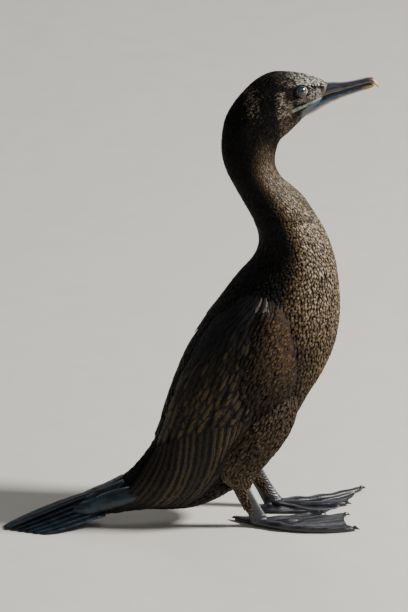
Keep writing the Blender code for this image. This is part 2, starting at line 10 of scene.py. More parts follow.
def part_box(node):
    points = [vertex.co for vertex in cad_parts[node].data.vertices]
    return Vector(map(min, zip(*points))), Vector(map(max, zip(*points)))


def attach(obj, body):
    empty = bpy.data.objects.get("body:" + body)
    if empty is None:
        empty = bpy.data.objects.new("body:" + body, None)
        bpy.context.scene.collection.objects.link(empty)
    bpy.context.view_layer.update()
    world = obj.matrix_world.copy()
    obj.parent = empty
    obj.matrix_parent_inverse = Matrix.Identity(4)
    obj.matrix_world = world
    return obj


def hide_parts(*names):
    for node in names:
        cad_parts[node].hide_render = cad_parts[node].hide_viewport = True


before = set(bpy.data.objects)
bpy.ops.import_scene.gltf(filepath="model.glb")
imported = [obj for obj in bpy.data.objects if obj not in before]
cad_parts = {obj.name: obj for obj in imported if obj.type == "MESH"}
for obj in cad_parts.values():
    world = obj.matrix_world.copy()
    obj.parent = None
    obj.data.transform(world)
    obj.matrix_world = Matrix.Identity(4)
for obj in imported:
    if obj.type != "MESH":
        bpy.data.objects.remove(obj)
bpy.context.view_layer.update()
print("frame loaded")

mm = 0.001
billEnd = 89.6  # mm, the bill's tip in the numbers below
origin = np.array([
    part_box("bill_upper")[1][0] - billEnd * mm,
    (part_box("neck_upper")[0][1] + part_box("neck_upper")[1][1]) / 2,
    0.0,
])

# The body from the bill's base to the root of the tail: x and z of its back edge, x and z of
# its front edge, half width, and how far the widest place lies towards the back.
bodyRows = np.array([
    (45, 391, 33, 368, 7.0, 0.00), (34, 396, 25, 361, 10.5, 0.10), (22, 400, 17, 354, 12.8, 0.15),
    (9, 402, 11, 348, 14.2, 0.12), (-4, 402, 6, 344, 15.2, 0.08), (-17, 396, 3, 341, 16.2, 0.00),
    (-28, 386, 1, 337, 17.2, 0.00), (-37, 375, 0, 333, 17.8, 0.00), (-44, 362, -1, 328, 18.2, 0.00),
    (-47, 346, -1, 321, 18.4, 0.00), (-47, 330, 1, 314, 18.6, 0.00), (-43, 315, 6, 306, 19.0, 0.00),
    (-36, 301, 14, 299, 19.6, 0.00), (-28, 286, 24, 289, 21.0, 0.00), (-20, 271, 33, 275, 23.5, 0.00),
    (-15.2, 257, 42.6, 258, 26.5, -0.05), (-15.4, 245, 49.3, 240, 30.0, -0.08),
    (-21, 233.3, 53, 222, 34.5, -0.06), (-32, 221, 55, 201, 39.0, 0.00),
    (-44.3, 204.7, 54.8, 179.3, 44.0, 0.06), (-57.5, 185.3, 50.3, 156, 47.5, 0.10),
    (-69, 165.3, 41, 134.2, 49.5, 0.12), (-79.5, 144.5, 28.7, 114.4, 50.0, 0.12),
    (-88, 123, 17.2, 94.4, 49.0, 0.10), (-95, 102.6, 5, 76, 46.0, 0.08), (-100.7, 83.1, -14, 48, 41.0, 0.08),
    (-106.5, 68.7, -42, 26, 35.0, 0.08), (-116, 57.2, -69, 14.5, 29.0, 0.05),
    (-126.4, 47.2, -93, 12.5, 23.0, 0.00), (-137.5, 39.3, -114, 13.5, 19.0, 0.00),
    (-148.5, 33.4, -146, 10.5, 15.5, 0.00), (-160, 29.3, -160, 9.5, 14.5, 0.00),
    (-171, 23.0, -171, 11.0, 12.5, 0.00), (-179, 18.5, -179, 13.5, 8.0, 0.00),
], float)
bodyEnd = len(bodyRows) - 1

# The folded wing: section of the body, and the angles from the back where it starts and ends
wingRows = np.array([
    (18.2, 46, 60), (18.5, 39, 71), (19.0, 30, 79), (20.0, 15, 89), (21.0, 7, 100), (22.0, 4, 105),
    (23.0, 3, 103), (24.0, 3, 99), (25.0, 3, 99), (26.0, 5, 107), (26.6, 10, 116), (27.2, 19, 126),
    (27.8, 31, 131), (28.4, 45, 135),
], float)
wingThick = np.array([2.5, 4.0, 5.5, 7.0, 7.5, 7.5, 7.0, 6.5, 5.5, 4.5, 4.0, 3.4, 3.0, 2.5])

# The leg: z, x, y, half depth and half width down to the ankle, then the feathered shank.
# Then where each leg's ankle and heel are.
thighRows = np.array([
    (120, 0, 33, 14, 8), (107, -8, 35, 21, 14), (92, -16, 36, 24, 17), (77, -25, 35, 24, 17),
    (64, -33, 34, 21.5, 14.5), (52, -38, 32, 17, 11.5), (43, -38, 31, 12, 8.5), (37, -36, 29, 8, 6.2),
    (28, -31.7, 28, 7.6, 5.0), (19, -27.2, 26.8, 7.4, 4.6), (10, -23, 26, 7.6, 5.0),
], float)
thighEnd = 7  # the row at the ankle
sides = {"right": -1, "left": 1}
ankles = {"right": (-34, 29), "left": (-17, 29)}
heels = {"right": (-18.5, 25), "left": (0, 27)}


def tableAt(rows, t):
    # a row between two rows of a table, on a smooth curve
    t = np.asarray(t, float)
    last = len(rows) - 1
    k = np.clip(np.floor(t).astype(int), 0, last - 1)
    u = (t - k)[..., None]
    a, b, c, d = rows[np.maximum(k - 1, 0)], rows[k], rows[k + 1], rows[np.minimum(k + 2, last)]
    return b + 0.5 * u * (c - a + u * (2 * a - 5 * b + 4 * c - d + u * (3 * (b - c) + d - a)))


def bodyChart(t, angle, out):
    # points of the body in mm, from the section, the angle from the back, and the height outside
    t, angle, out = np.broadcast_arrays(t, angle, out)
    backX, backZ, frontX, frontZ, wide, shift = np.moveaxis(tableAt(bodyRows, t), -1, 0)
    halfX, halfZ = (backX - frontX) / 2, (backZ - frontZ) / 2
    deep = np.hypot(halfX, halfZ)
    c, s = np.cos(np.radians(angle)), np.sin(np.radians(angle))
    normal = np.stack([c * halfX / deep ** 2, s / wide, c * halfZ / deep ** 2], -1)
    normal /= np.linalg.norm(normal, axis=-1, keepdims=True)
    middle = [(backX + frontX) / 2 + halfX * c, wide * s * (1 + shift * c), (backZ + frontZ) / 2 + halfZ * c]
    return np.stack(middle, -1) + normal * out[..., None]


def wingEdges(t):
    return np.interp(t, wingRows[:, 0], wingRows[:, 1]), np.interp(t, wingRows[:, 0], wingRows[:, 2])


def sideChart(side):
    def place(t, angle, out):
        return bodyChart(t, angle, out) * np.array([1, sides[side], 1])
    return place


def wingChart(side):
    # points of the folded wing, from the section and the share of its width
    def place(t, share, out):
        start, end = wingEdges(t)
        return sideChart(side)(t, start + (end - start) * share, out)
    return place


def thighShare(z):
    # how much of its lean the thigh has at a height; it leans most near the ankle
    share = (thighRows[0, 0] - z) / (thighRows[0, 0] - thighRows[thighEnd, 0])
    return np.clip(share, 0, 2) ** np.where(share < 1, 1.6, 1.0)


def thighChart(side):
    lean = ankles[side][0] - thighRows[thighEnd, 1]

    def place(t, angle, out):
        t, angle, out = np.broadcast_arrays(t, angle, out)
        z, x, y, deep, wide = np.moveaxis(tableAt(thighRows, t), -1, 0)
        x = x + lean * thighShare(z)
        c, s = np.cos(np.radians(angle)), np.sin(np.radians(angle))
        return np.stack([x + (deep + out) * c, sides[side] * (y + (wide + out) * s), z], -1)
    return place


def smoothStep(x, low, high):
    u = np.clip((np.asarray(x, float) - low) / (high - low), 0, 1)
    return u * u * (3 - 2 * u)


def toScene(points):
    return points * mm + origin


def curve(t, points):
    # values between the points of a list of pairs
    return np.interp(t, *zip(*points))


def turned(u):
    # a share of a full turn as an angle, whose last place is the first again
    return 2 * math.pi * np.where(u == 1, 0.0, u)


def fromBack(angle):
    # degrees from the middle of the back, down either side
    return np.minimum(angle % 360, 360 - angle % 360)


def columns(*values):
    # values and arrays as the columns of one table
    return np.stack(np.broadcast_arrays(*values), -1)


def inBox(spots, box):
    (left, right), (low, high) = box
    x, z = spots[:, 0], spots[:, 2]
    return (x > left) & (x < right) & (z > low) & (z < high)


def newObject(name, data):
    made = bpy.data.objects.new(name, data)
    bpy.context.scene.collection.objects.link(made)
    return made


def linear(colour):
    # a hex colour as the shader needs it
    parts = [int(colour[i:i + 2], 16) / 255 for i in (1, 3, 5)]
    return [p / 12.92 if p < 0.04045 else ((p + 0.055) / 1.055) ** 2.4 for p in parts] + [1.0]


def connect(node, inputs):
    # sets an input, links it, or links it over a range: socket, from, to, least, most
    for name, value in inputs.items():
        if isinstance(value, tuple) and isinstance(value[0], bpy.types.NodeSocket):
            ranged = dict(enumerate(value))
            value = addNode(node.id_data, "MapRange", ranged, interpolation_type="SMOOTHSTEP")[0]
        if isinstance(value, bpy.types.NodeSocket):
            node.id_data.links.new(value, node.inputs[name])
        else:
            node.inputs[name].default_value = linear(value) if isinstance(value, str) else value


def addNode(tree, kind, inputs=(), **settings):
    # a node with its settings and its inputs, named or in order; gives its outputs
    made = tree.nodes.new("ShaderNode" + kind)
    for name, value in settings.items():
        setattr(made, name, value)
    connect(made, inputs if isinstance(inputs, dict) else dict(enumerate(inputs)))
    return made.outputs


def newMaterial(name, sockets):
    # a material, its shader with the constants set, what adds its nodes, and its object coordinates
    made = bpy.data.materials.new(name)
    made.use_nodes = True
    shader = made.node_tree.nodes["Principled BSDF"]
    connect(shader, sockets)
    add = functools.partial(addNode, made.node_tree)
    return made, shader, add, add("TexCoord")["Object"]


def attributeParts(add, name):
    return add("SeparateXYZ", [add("Attribute", attribute_name=name)["Vector"]])


def layered(add, colour, tints, shades=()):
    # tints over a colour, each by its amount, then what darkens or lightens them all
    for amount, tint in tints:
        colour = add("MixRGB", [amount, colour, tint])[0]
    for shade in shades:
        colour = add("VectorMath", {0: colour, "Scale": shade}, operation="SCALE")[0]
    return colour


def surface(shader, add, colour, rough, height, strength, deep):
    # the colour, the roughness and a relief that is deep metres deep
    bump = add("Bump", {"Height": height, "Strength": strength, "Distance": deep})[0]
    connect(shader, {"Base Color": colour, "Roughness": rough, "Normal": bump})


def barbLines(add, vane, side, slant, count):
    # fine lines that run slantwise from a feather's shaft
    along = add("Math", [side, -slant, vane["X"]], operation="MULTIPLY_ADD")[0]
    along = add("Math", [along, count], operation="MULTIPLY")[0]
    return add("Math", [along], operation="SINE")[0]


plumage = {
    "black": "#070605", "brown": "#2a1e13", "tip": "#937850", "warmTip": "#5f4930",
    "silver": "#cfcabc", "barbs": 900.0,
}


def plumageMaterial():
    # contour feathers: matt keratin barbs over black down, so soft gloss and pale worn tips
    made, shader, add, place = newMaterial("contourFeathers", {"Roughness": 0.62, "Specular IOR Level": 0.14})
    mark = attributeParts(add, "mark")  # paleness of the tip, brownness, random
    vane = attributeParts(add, "vane")  # along, across, silver
    wear = add("TexNoise", {"Vector": place, "Scale": 260.0, "Detail": 3.0})[0]  # 4 mm
    # tufts of barbs, at 1 mm coarser than single ones, so that they show
    barbs = add("TexNoise", {"Vector": place, "Scale": plumage["barbs"], "Detail": 2.0})[0]
    side = add("Math", [vane["Y"]], operation="ABSOLUTE")[0]
    # pale inside the edges and near the tip, or all over where the feather is silvery
    pale = add("Math", [(side, 1.05, 0.5), (vane["X"], 0.5, 0.74)], operation="MULTIPLY")[0]
    pale = add("Math", [pale, vane["Z"]], operation="MAXIMUM")[0]
    pale = add("Math", [pale, mark["X"]], operation="MULTIPLY")[0]
    warm, silver = ((mark["Z"], 0.2, 0.8), plumage["warmTip"]), (vane["Z"], plumage["silver"])
    tip = layered(add, plumage["tip"], [warm, silver])
    colour = layered(add, plumage["black"], [(mark["Y"], plumage["brown"]), (pale, tip)], [
        (wear, 0.3, 0.7, 0.62, 1.3), (mark["Z"], 0.0, 1.0, 0.7, 1.25),
    ])
    surface(shader, add, colour, (wear, 0.3, 0.7, 0.55, 0.75), barbs, 0.35, 0.0004)
    return made


def finish(name, shape, material, replaced=()):
    # a mesh or bmesh as a piece, with its material, on the root body, and the solids it stands for
    mesh = shape if isinstance(shape, bpy.types.Mesh) else toMesh(shape, name)
    mesh.shade_smooth()
    mesh.materials.clear()
    mesh.materials.append(material)
    piece = newObject(name, mesh)
    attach(piece, "root")
    if replaced:
        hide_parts(*replaced)
    return piece


def bent(across, rows, place, closed=True, patch=(0, 0, 1, 1)):
    # a grid bent to a form and closed at its ends; place gives points for shares across and along
    bm = bmesh.new()
    bmesh.ops.create_grid(bm, x_segments=across, y_segments=rows, size=0.5)
    flat = np.array([v.co[:2] for v in bm.verts]) + 0.5
    layer = bm.loops.layers.uv.new("OFBake")
    for face in bm.faces:
        for loop in face.loops:
            u, v = flat[loop.vert.index]
            loop[layer].uv = (patch[0] + patch[2] * u, patch[1] + patch[3] * v)
    spots, extra = place(flat[:, 0], flat[:, 1])
    layers = {name: bm.verts.layers.float_vector.new(name) for name in extra}
    for i, vert in enumerate(bm.verts):
        vert.co = spots[i]
        for name, held in layers.items():
            vert[held] = extra[name][i]
    if closed:
        bmesh.ops.remove_doubles(bm, verts=bm.verts, dist=1e-6)
        bmesh.ops.holes_fill(bm, edges=[e for e in bm.edges if e.is_boundary])
    bmesh.ops.recalc_face_normals(bm, faces=bm.faces)
    return bm


def toMesh(bm, name):
    mesh = bpy.data.meshes.new(name)
    bm.to_mesh(mesh)
    bm.free()
    return mesh


def applied(thing):
    # the mesh of an object with its modifiers applied
    bpy.context.view_layer.update()
    return bpy.data.meshes.new_from_object(thing.evaluated_get(bpy.context.evaluated_depsgraph_get()))


def together(parts):
    # several forms in one
    whole = bmesh.new()
    for part in parts:
        mesh = toMesh(part, "part")
        whole.from_mesh(mesh)
        bpy.data.meshes.remove(mesh)
    return whole


def vaneMesh(name, rings, flipped, attributes, spots):
    # many closed vanes in one mesh; rings are vanes x rows x places round each row
    count, rows, around, _ = rings.shape
    index = np.arange(count * rows * around).reshape(count, rows, around)
    one, two = index[:, :-1], index[:, 1:]
    quads = np.stack([one, np.roll(one, -1, 2), np.roll(two, -1, 2), two], -1).reshape(-1, 4)
    caps = np.concatenate([index[:, 0, ::-1], index[:, -1]])
    if flipped:
        quads, caps = quads[:, ::-1], caps[:, ::-1]
    corners = np.concatenate([quads.ravel(), caps.ravel()]).astype(np.int32)
    starts = np.concatenate([
        np.arange(len(quads)) * 4, len(quads) * 4 + np.arange(len(caps)) * around,
    ]).astype(np.int32)
    mesh = bpy.data.meshes.new(name)
    mesh.vertices.add(rings.size // 3)
    mesh.vertices.foreach_set("co", toScene(rings).ravel())
    mesh.loops.add(len(corners))
    mesh.loops.foreach_set("vertex_index", corners)
    mesh.polygons.add(len(starts))
    mesh.polygons.foreach_set("loop_start", starts)
    mesh.update(calc_edges=True)
    for held, values in attributes.items():
        layer = mesh.attributes.new(held, "FLOAT_VECTOR", "POINT")
        layer.data.foreach_set("vector", np.ascontiguousarray(values, np.float32).ravel())
    layer = mesh.uv_layers.new(name="OFBake")
    layer.data.foreach_set("uv", spots.reshape(-1, 2)[corners].astype(np.float32).ravel())
    mesh.validate()
    return mesh


def layVanes(name, chart, roots, spans, look, marks, corners, draw):
    # feathers from their roots along a chart, each at its corner of the map. look: rows (share
    # along, width, height from the root's depth to the tip's lift), places across, half width,
    # depth, lift, ridge, thickness
    t, a = roots[:, 0], roots[:, 1]
    along, widths, heights = (np.array(column) for column in zip(*look["rows"]))
    across = np.array(look["across"], float)
    half, depth, lift, drift = (
        np.broadcast_to(look.get(key, 0.0), t.shape)[:, None] for key in ("half", "depth", "lift", "drift")
    )
    sway = draw.normal(0, look["sway"], len(t))[:, None] * half
    tilt = draw.normal(0, look["tilt"], len(t))[:, None] * half
    shift = half[:, :, None] * widths[:, None] * across + (sway * along ** 2)[:, :, None]
    places, aim, step = t[:, None] + spans[:, None] * along, a[:, None] + drift * along ** 1.7, 0.02
    ahead, behind = chart(places, aim + step, 0.0), chart(places, aim - step, 0.0)
    perUnit = np.linalg.norm(ahead - behind, axis=-1) / (2 * step)
    high = (-depth + (depth + lift) * heights)[:, :, None]
    high = high + look["ridge"] * half[:, :, None] * widths[:, None] * (1 - across ** 2)
    high = high + tilt[:, :, None] * along[:, None] * across
    high = high + look.get("shaft", 0.0) * (np.abs(across) < 0.05) * (1 - 0.7 * along[:, None])
    turn = aim[:, :, None] + shift / perUnit[:, :, None]
    rings = chart(places[:, :, None], turn, high)
    u = np.broadcast_to(across, turn.shape)
    if "thick" in look:
        under = chart(places[:, :, None], turn, high - look["thick"])
        rings = np.concatenate([rings, under[:, :, ::-1]], 2)
        u = np.concatenate([u, u[:, :, ::-1]], 2)
    v = np.broadcast_to(along[:, None], u.shape)
    edge, length = rings[0, 1, 2] - rings[0, 1, 0], rings[0, 2, 1] - rings[0, 1, 1]
    outwards = chart(t[:1], a[:1], 1.0) - chart(t[:1], a[:1], 0.0)
    flipped = np.dot(np.cross(edge, length), outwards[0]) < 0
    mark = np.broadcast_to(marks[:, None, None, :3], (*u.shape, 3))
    held = {"mark": mark, "vane": columns(v, u, marks[:, 3:, None])}
    wide, long = look.get("patch", (0.003, 0.003))
    spots = corners[:, None, None] + np.stack([u * 0.5 * wide, v * long], -1)
    return vaneMesh(name, rings, flipped, held, spots)


# One rule marks the skin and the feathers on it
coatMarks = {
    # by section of the body: paleness of the tips, how far from the front they start, brownness,
    # and the pale wash of the neck
    "pale": (
        (6, 0.0), (7, 0.55), (9, 0.85), (11, 1.0), (15, 1.0), (18, 0.72), (22, 0.27), (26, 0.14), (33, 0.0),
    ),
    "reach": (
        (5, 0.7), (7, 0.62), (9, 0.54), (11, 0.46), (14, 0.43), (16, 0.38), (19, 0.4), (21, 0.6), (26, 0.62),
        (33, 0.4),
    ),
    "brown": ((0, 0.1), (6, 0.3), (9, 0.9), (15, 1.0), (20, 0.9), (24, 0.62), (30, 0.35), (31, 0.0)),
    "wash": ((6, 0.0), (8, 0.16), (11, 0.3), (14, 0.3), (18, 0.16), (21, 0.0)),
}
faceZones = {
    # the edges where a zone fades in, as axis, none and full; the share of feathers with a fleck,
    # and how pale they are
    "cheek": (((0, -4, 4), (0, 19, 13), (2, 360, 368), (2, 391, 386)), 0.8, 1.0),
    "nape": (((0, -12, -16), (0, -30, -24), (2, 364, 374), (2, 397, 390)), 0.5, 0.8),
    "throat": (((0, 0, 6), (2, 370, 362)), 0.6, 0.7),
    "crown": (((2, 390, 397), (0, -20, 5)), 0.55, 0.45),
}
silverZones = (
    # forehead, base of the bill, and before the eye, each with its most
    (1.0, ((0, -8, 27), (2, 389, 392.5))), (0.95, ((0, 25, 31), (2, 376, 380))),
    (0.7, ((0, 13, 20), (2, 374, 379), (2, 386, 383))),
)


forehead = {
    # streaks to a mm of height and how they lean, the mm from break to break, how ragged the silver
    # is, how dark the roots between streaks are and how much less near the bill, and the share of
    # feathers without much silver
    "streaks": 1.3, "lean": 0.25, "long": 4.5, "ragged": 0.55, "gaps": 0.85, "lessAhead": 0.45, "dull": 0.22,
}
# painted shade on the flank beside the wing: its strength, the degrees past the wing's edge over which it
# fades, and the sections where it fades in and out
paintedFlankShade = {"dark": 0.85, "beside": (10, 62), "from": (17.5, 20.5), "to": (28, 29)}  # degrees, then sections


def zoneAt(spots, edges, most=1.0):
    return math.prod((smoothStep(spots[:, axis], none, full) for axis, none, full in edges), start=most)


def markings(spots, t, angle, draw):
    # paleness of the tips, brownness, random tone, and how silvery, at places of the body
    front = 0.5 - 0.5 * np.cos(np.radians(angle))
    x, z = spots[:, 0], spots[:, 2]
    tone, chance = draw.random(len(t)), draw.random(len(t))
    reach = curve(t, coatMarks["reach"])
    pale = curve(t, coatMarks["pale"]) * smoothStep(front, reach - 0.08, reach + 0.22)
    pale = pale * (0.4 + 0.6 * smoothStep(chance, 0.1, 0.55))
    # the breast is blotched, the neck evenly flecked
    blotch = np.sin(0.55 * x + 2.1 * np.sin(0.21 * z))
    blotch = blotch * np.sin(0.43 * z + 1.7 * np.sin(0.31 * x + 0.2 * spots[:, 1]))
    pale = pale * (1 + 0.45 * blotch * smoothStep(t, 13, 17)) * (1 - smoothStep(t, 28.5, 30))
    brown = curve(t, coatMarks["brown"]) * smoothStep(front, reach - 0.15, reach + 0.3)
    # painted shade: the flank is darkened beside the wing, where the wing and the bulge of the breast shade
    # it
    beside = 1 - smoothStep(fromBack(angle) - wingEdges(t)[1], *paintedFlankShade["beside"])
    flankShadeFactor = 1 - paintedFlankShade["dark"] * beside * smoothStep(t, *paintedFlankShade["from"]) * (1 - smoothStep(t, *paintedFlankShade["to"]))
    pale, brown = pale * flankShadeFactor * (1 - 0.3 * beside * smoothStep(t, 22, 24)), brown * flankShadeFactor
    face = t < 7
    zones = {name: zoneAt(spots, edges) for name, (edges, *_) in faceZones.items()}
    flecks = [many * zones[name] for name, (_, many, _) in faceZones.items()]
    strong = [most * zones[name] for name, (*_, most) in faceZones.items()]
    flecks, strong = np.maximum.reduce(flecks + [0.12 + 0 * x]), np.maximum.reduce(strong + [0.3 + 0 * x])
    fleck = (chance < flecks) * strong * (0.4 + 0.6 * tone)
    brown = np.where(face, np.maximum(brown, 0.9 * np.maximum(zones["throat"], 0.6 * zones["cheek"])), brown)
    # the forehead's silver breaks up backwards into streaks that run along the head
    line = np.floor(z * forehead["streaks"] - forehead["lean"] * x)
    # an even chance from 0 to 1 for each cell
    cell = np.sin(line * 12.9898 + np.floor(x / forehead["long"] + 0.37 * line) * 78.233) * 43758.5453
    cell = forehead["ragged"] * (cell - np.floor(cell))
    amount = np.maximum.reduce([zoneAt(spots, edges, most) for most, edges in silverZones])
    silver = amount * smoothStep(amount, cell, cell + 0.25)
    silver = silver * (0.72 + 0.28 * smoothStep(z, 388, 391))
    # dark roots show between its streaks, least above the bill's base
    gaps = smoothStep(np.sin(2.0 * x + 1.4 * np.sin(0.9 * z)) * np.sin(1.7 * z - 0.6 * x), 0.0, 0.45)
    brightest = smoothStep(x, 19, 23) * smoothStep(z, 390, 393)
    gaps = (forehead["gaps"] - forehead["lessAhead"] * brightest) * smoothStep(z, 386, 390) * gaps
    silver = silver * (1 - gaps)
    # none of it over the dark streak before the eye and the dark patch behind it
    rough = 0.5 * np.sin(x * 2.9 + z) + 0.35 * np.sin(x * 1.3 - 2.1 * z)
    streak = smoothStep(toLine(x, z, bare["streak"]) + 0.5 * rough, 0.4, 1.1)
    patch = smoothStep(np.hypot((x - bare["dark"][0]) / 1.25, z - bare["dark"][1]) + 0.8 * rough, 3.4, 5.4)
    silver = silver * face * streak * patch * (0.35 + 0.65 * (draw.random(len(t)) > forehead["dull"]))
    pale = np.where(face, np.maximum(np.maximum(pale, fleck), silver) * patch * streak, pale)
    # the front of the neck is pale all over, not only at the tips
    wash = curve(t, coatMarks["wash"]) * smoothStep(front, reach, reach + 0.3)
    silver = np.where(face, np.maximum(silver, 0.42 * fleck), wash * (0.6 + 0.8 * tone))
    return np.stack([np.clip(pale, 0, 1), np.clip(brown, 0, 1), tone, silver], -1)


skinSizes = {
    "rows": 330, "around": 96, "depth": 0.9, "thighRows": 60, "thighAround": 48, "thighDepth": 1.6,
}
coatRows = np.array([
    # section, row step, step across, length, half width, depth, lift, all in mm
    (0.0, 0.85, 0.95, 2.4, 0.60, 0.65, 0.10),
    (3.0, 0.95, 1.05, 3.4, 0.72, 1.0, 0.10),
    (6.0, 1.10, 1.25, 4.2, 0.85, 1.2, 0.12),
    (10.0, 1.35, 1.50, 4.8, 1.05, 1.5, 0.15),
    (14.0, 1.70, 2.00, 6.0, 1.40, 1.9, 0.18),
    (18.0, 2.30, 2.80, 8.5, 2.00, 2.4, 0.20),
    (22.0, 2.80, 3.50, 11.0, 2.60, 2.6, 0.20),
    (28.0, 2.80, 3.40, 12.0, 2.50, 2.4, 0.20),
    (33.0, 2.60, 3.00, 15.0, 2.40, 1.3, 0.30),
])
bare = {
    "gape": ((14, 370.5), (38, 379.4)), "gapeWidth": (2.3, 0.9), "mouth": ((12, 366.0), (22, 368.0)),
    "orange": (24.0, 381.8), "dark": (13.5, 384.5), "streak": ((31.0, 390.2), (40.5, 388.2)),
}


def coatAt(t, column):
    return np.interp(t, coatRows[:, 0], coatRows[:, column])


def shareAlong(x, z, ends):
    # how far along a line, from its first end to its second, a place of the face lies
    (ax, az), (bx, bz) = ends
    return np.clip(((x - ax) * (bx - ax) + (z - az) * (bz - az)) / ((bx - ax) ** 2 + (bz - az) ** 2), 0, 1)


def toLine(x, z, ends):
    (ax, az), (bx, bz) = ends
    u = shareAlong(x, z, ends)
    return np.hypot(x - ax - u * (bx - ax), z - az - u * (bz - az))


def gapeAt(x, z):
    # inside the bare line of the gape, which tapers to the bill: 1 at its back and 2 at its front; values
    # above 1.5 paint a blue highlight there
    share = shareAlong(x, z, bare["gape"])
    wide = bare["gapeWidth"][0] + (bare["gapeWidth"][1] - bare["gapeWidth"][0]) * share
    return (1 - smoothStep(toLine(x, z, bare["gape"]) / wide, 0.7, 1.05)) * (1 + share)


def slateAt(x, z):
    # the bare grey skin between the gape and the lower bill's edge
    return smoothStep(x, 19.5, 23.5) * (1 - smoothStep(z - (365.0 + (x - 15) * 0.62), 0.0, 1.2))


def faceMarks(spots):
    # bare skin of the face: the gape, the orange below the eye, and the dark behind it, or the
    # slate below the gape as a negative
    x, z = spots[:, 0], spots[:, 2]
    orange = 1 - smoothStep(np.hypot(x - bare["orange"][0], z - bare["orange"][1]), 1.0, 2.8)
    dark = 1 - smoothStep(np.hypot(x - bare["dark"][0], z - bare["dark"][1]), 2.0, 5.0)
    dark = np.maximum(dark, 1 - smoothStep(toLine(x, z, bare["mouth"]), 0.7, 1.5))
    slate = slateAt(x, z)
    return np.stack([gapeAt(x, z), orange, np.where(slate > 0.2, -slate, dark)], -1)


def skinMaterial():
    # dry skin with down stubs: matt and dark, and grey-green, slate and orange where the face is bare, with a
    # painted blue highlight at the front of the gape
    made, shader, add, place = newMaterial("skinUnderFeathers", {"Roughness": 0.5, "Specular IOR Level": 0.4})
    mark, face = attributeParts(add, "mark"), attributeParts(add, "face")
    grain = add("TexNoise", {"Vector": place, "Scale": 700.0, "Detail": 4.0})[0]  # 1.4 mm
    pores = add("TexVoronoi", {"Vector": place, "Scale": 900.0})[0]  # 1.1 mm, coarse enough to show
    blots = add("TexNoise", {"Vector": place, "Scale": 420.0, "Detail": 4.0})[0]  # 2.4 mm
    pale = add("Math", [mark["X"], 0.35], operation="MULTIPLY")[0]
    # the gape's front turns blue from X 1.5: a painted highlight
    gape = layered(add, "#3f463a", [((blots, 0.35, 0.62), "#6f7764"), ((face["X"], 1.5, 1.8), "#6d8f9b")])
    colour = layered(add, plumage["black"], [
        (mark["Y"], plumage["brown"]), (pale, plumage["tip"]), ((face["Z"], 0.0, 1.0), "#0b0908"),
        ((face["Z"], -0.2, -0.8), "#3a4243"), ((face["X"], 0.1, 0.9), gape), (face["Y"], "#7c4a22"),
    ], [(grain, 0.3, 0.7, 0.6, 1.25)])
    surface(shader, add, colour, (grain, 0.3, 0.7, 0.35, 0.6), pores, 0.4, 0.0003)
    return made


def makeSkin():
    draw = np.random.default_rng(3)

    def bodyPlace(u, v):
        t = np.interp(v, [0, 0.4, 0.65, 1], [0, 7, 16, bodyEnd])  # closer rows on the head
        angle = np.where(u == 1, 0.0, u) * 360
        spots = bodyChart(t, angle, -coatAt(t, 5) * skinSizes["depth"])
        return toScene(spots), {"mark": markings(spots, t, angle, draw)[:, :3], "face": faceMarks(spots)}

    def thighPlace(side):
        def place(u, v):
            spots = thighChart(side)(v * thighEnd, np.where(u == 1, 0.0, u * 360), -skinSizes["thighDepth"])
            marks = np.broadcast_to([0.1, 0.5, 0.5], (len(u), 3))
            return toScene(spots), {"mark": marks, "face": marks * 0}
        return place

    material = skinMaterial()
    body = bent(skinSizes["around"], skinSizes["rows"], bodyPlace, patch=(0, 0, 0.7, 1))
    skin = finish("bodySkin", body, material, (
        "head", "neck_upper", "neck_lower", "torso", "thigh_left", "thigh_right",
    ))
    helpers = []
    for side, low in (("right", 0.0), ("left", 0.5)):
        thigh = bent(
            skinSizes["thighAround"], skinSizes["thighRows"], thighPlace(side), patch=(0.72, low, 0.26, 0.48),
        )
        helpers.append(newObject("helper" + side, toMesh(thigh, side)))
        joined = skin.modifiers.new("thigh", "BOOLEAN")
        joined.operation, joined.object, joined.solver = "UNION", helpers[-1], "EXACT"
    made = applied(skin)
    skin.modifiers.clear()
    skin.data = made
    made.name = "bodySkin"
    for helper in helpers:
        bpy.data.objects.remove(helper)
    made.shade_smooth()
    made.materials.clear()
    made.materials.append(material)
    print("skin", len(made.polygons))


contourRows = ((0.0, 0.55, 0.0), (0.35, 1.0, 0.55), (0.75, 0.85, 0.95), (1.0, 0.2, 1.0))
tuftRows = ((0.0, 0.6, 0.0), (0.55, 1.0, 0.75), (1.0, 0.12, 1.0))
coatZones = {
    # sections where each piece of the coat starts and ends, and its rows
    "headFeathers": (0.3, 5.6, tuftRows), "napeFeathers": (5.6, 9.6, tuftRows),
    "neckFeathers": (9.6, 14.0, tuftRows), "shoulderFeathers": (14.0, 18.6, contourRows),
    "breastFeathers": (18.6, 24.0, contourRows), "bellyFeathers": (24.0, 32.2, contourRows),
}
eye = {
    # pupil and rim: mm from the axis where each starts and is full; clear: the feathers' distance
    "place": (20.1, 10.1, 387.7), "radius": 4.9, "pupil": (1.95, 1.6), "rim": (3.0, 3.6), "clear": 5.3,
    "cornea": 0.3, "ballGrid": (48, 36),
    # the ring of the lids: its middle's radius, its half thickness, how far out it lies and leans
    "ring": 4.35, "tube": 0.8, "beads": 22, "out": 3.0, "leanAhead": 0.12, "leanUp": 0.14,
    "lidGrid": (14, 132),
}
coat = {
    # how much single feathers vary from the table, and in half widths their ridge, sway and tilt
    "size": (0.8, 1.2), "lift": (0.4, 1.3), "ridge": 0.13, "sway": 0.4, "tilt": 0.07,
    # mm by which those along the back stand up, and the sections where that fades in and out
    "backLift": 1.7, "backFrom": (19, 21), "backTo": (27.5, 26),
}


def chartScale(chart, t, a, unit):
    # mm for one unit along or across a chart
    step = (0.05, 0.0) if unit == 0 else (0.0, 0.5)
    ahead, behind = chart(t + step[0], a + step[1], 0.0), chart(t - step[0], a - step[1], 0.0)
    return np.linalg.norm(ahead - behind, axis=-1) / (2 * max(step))


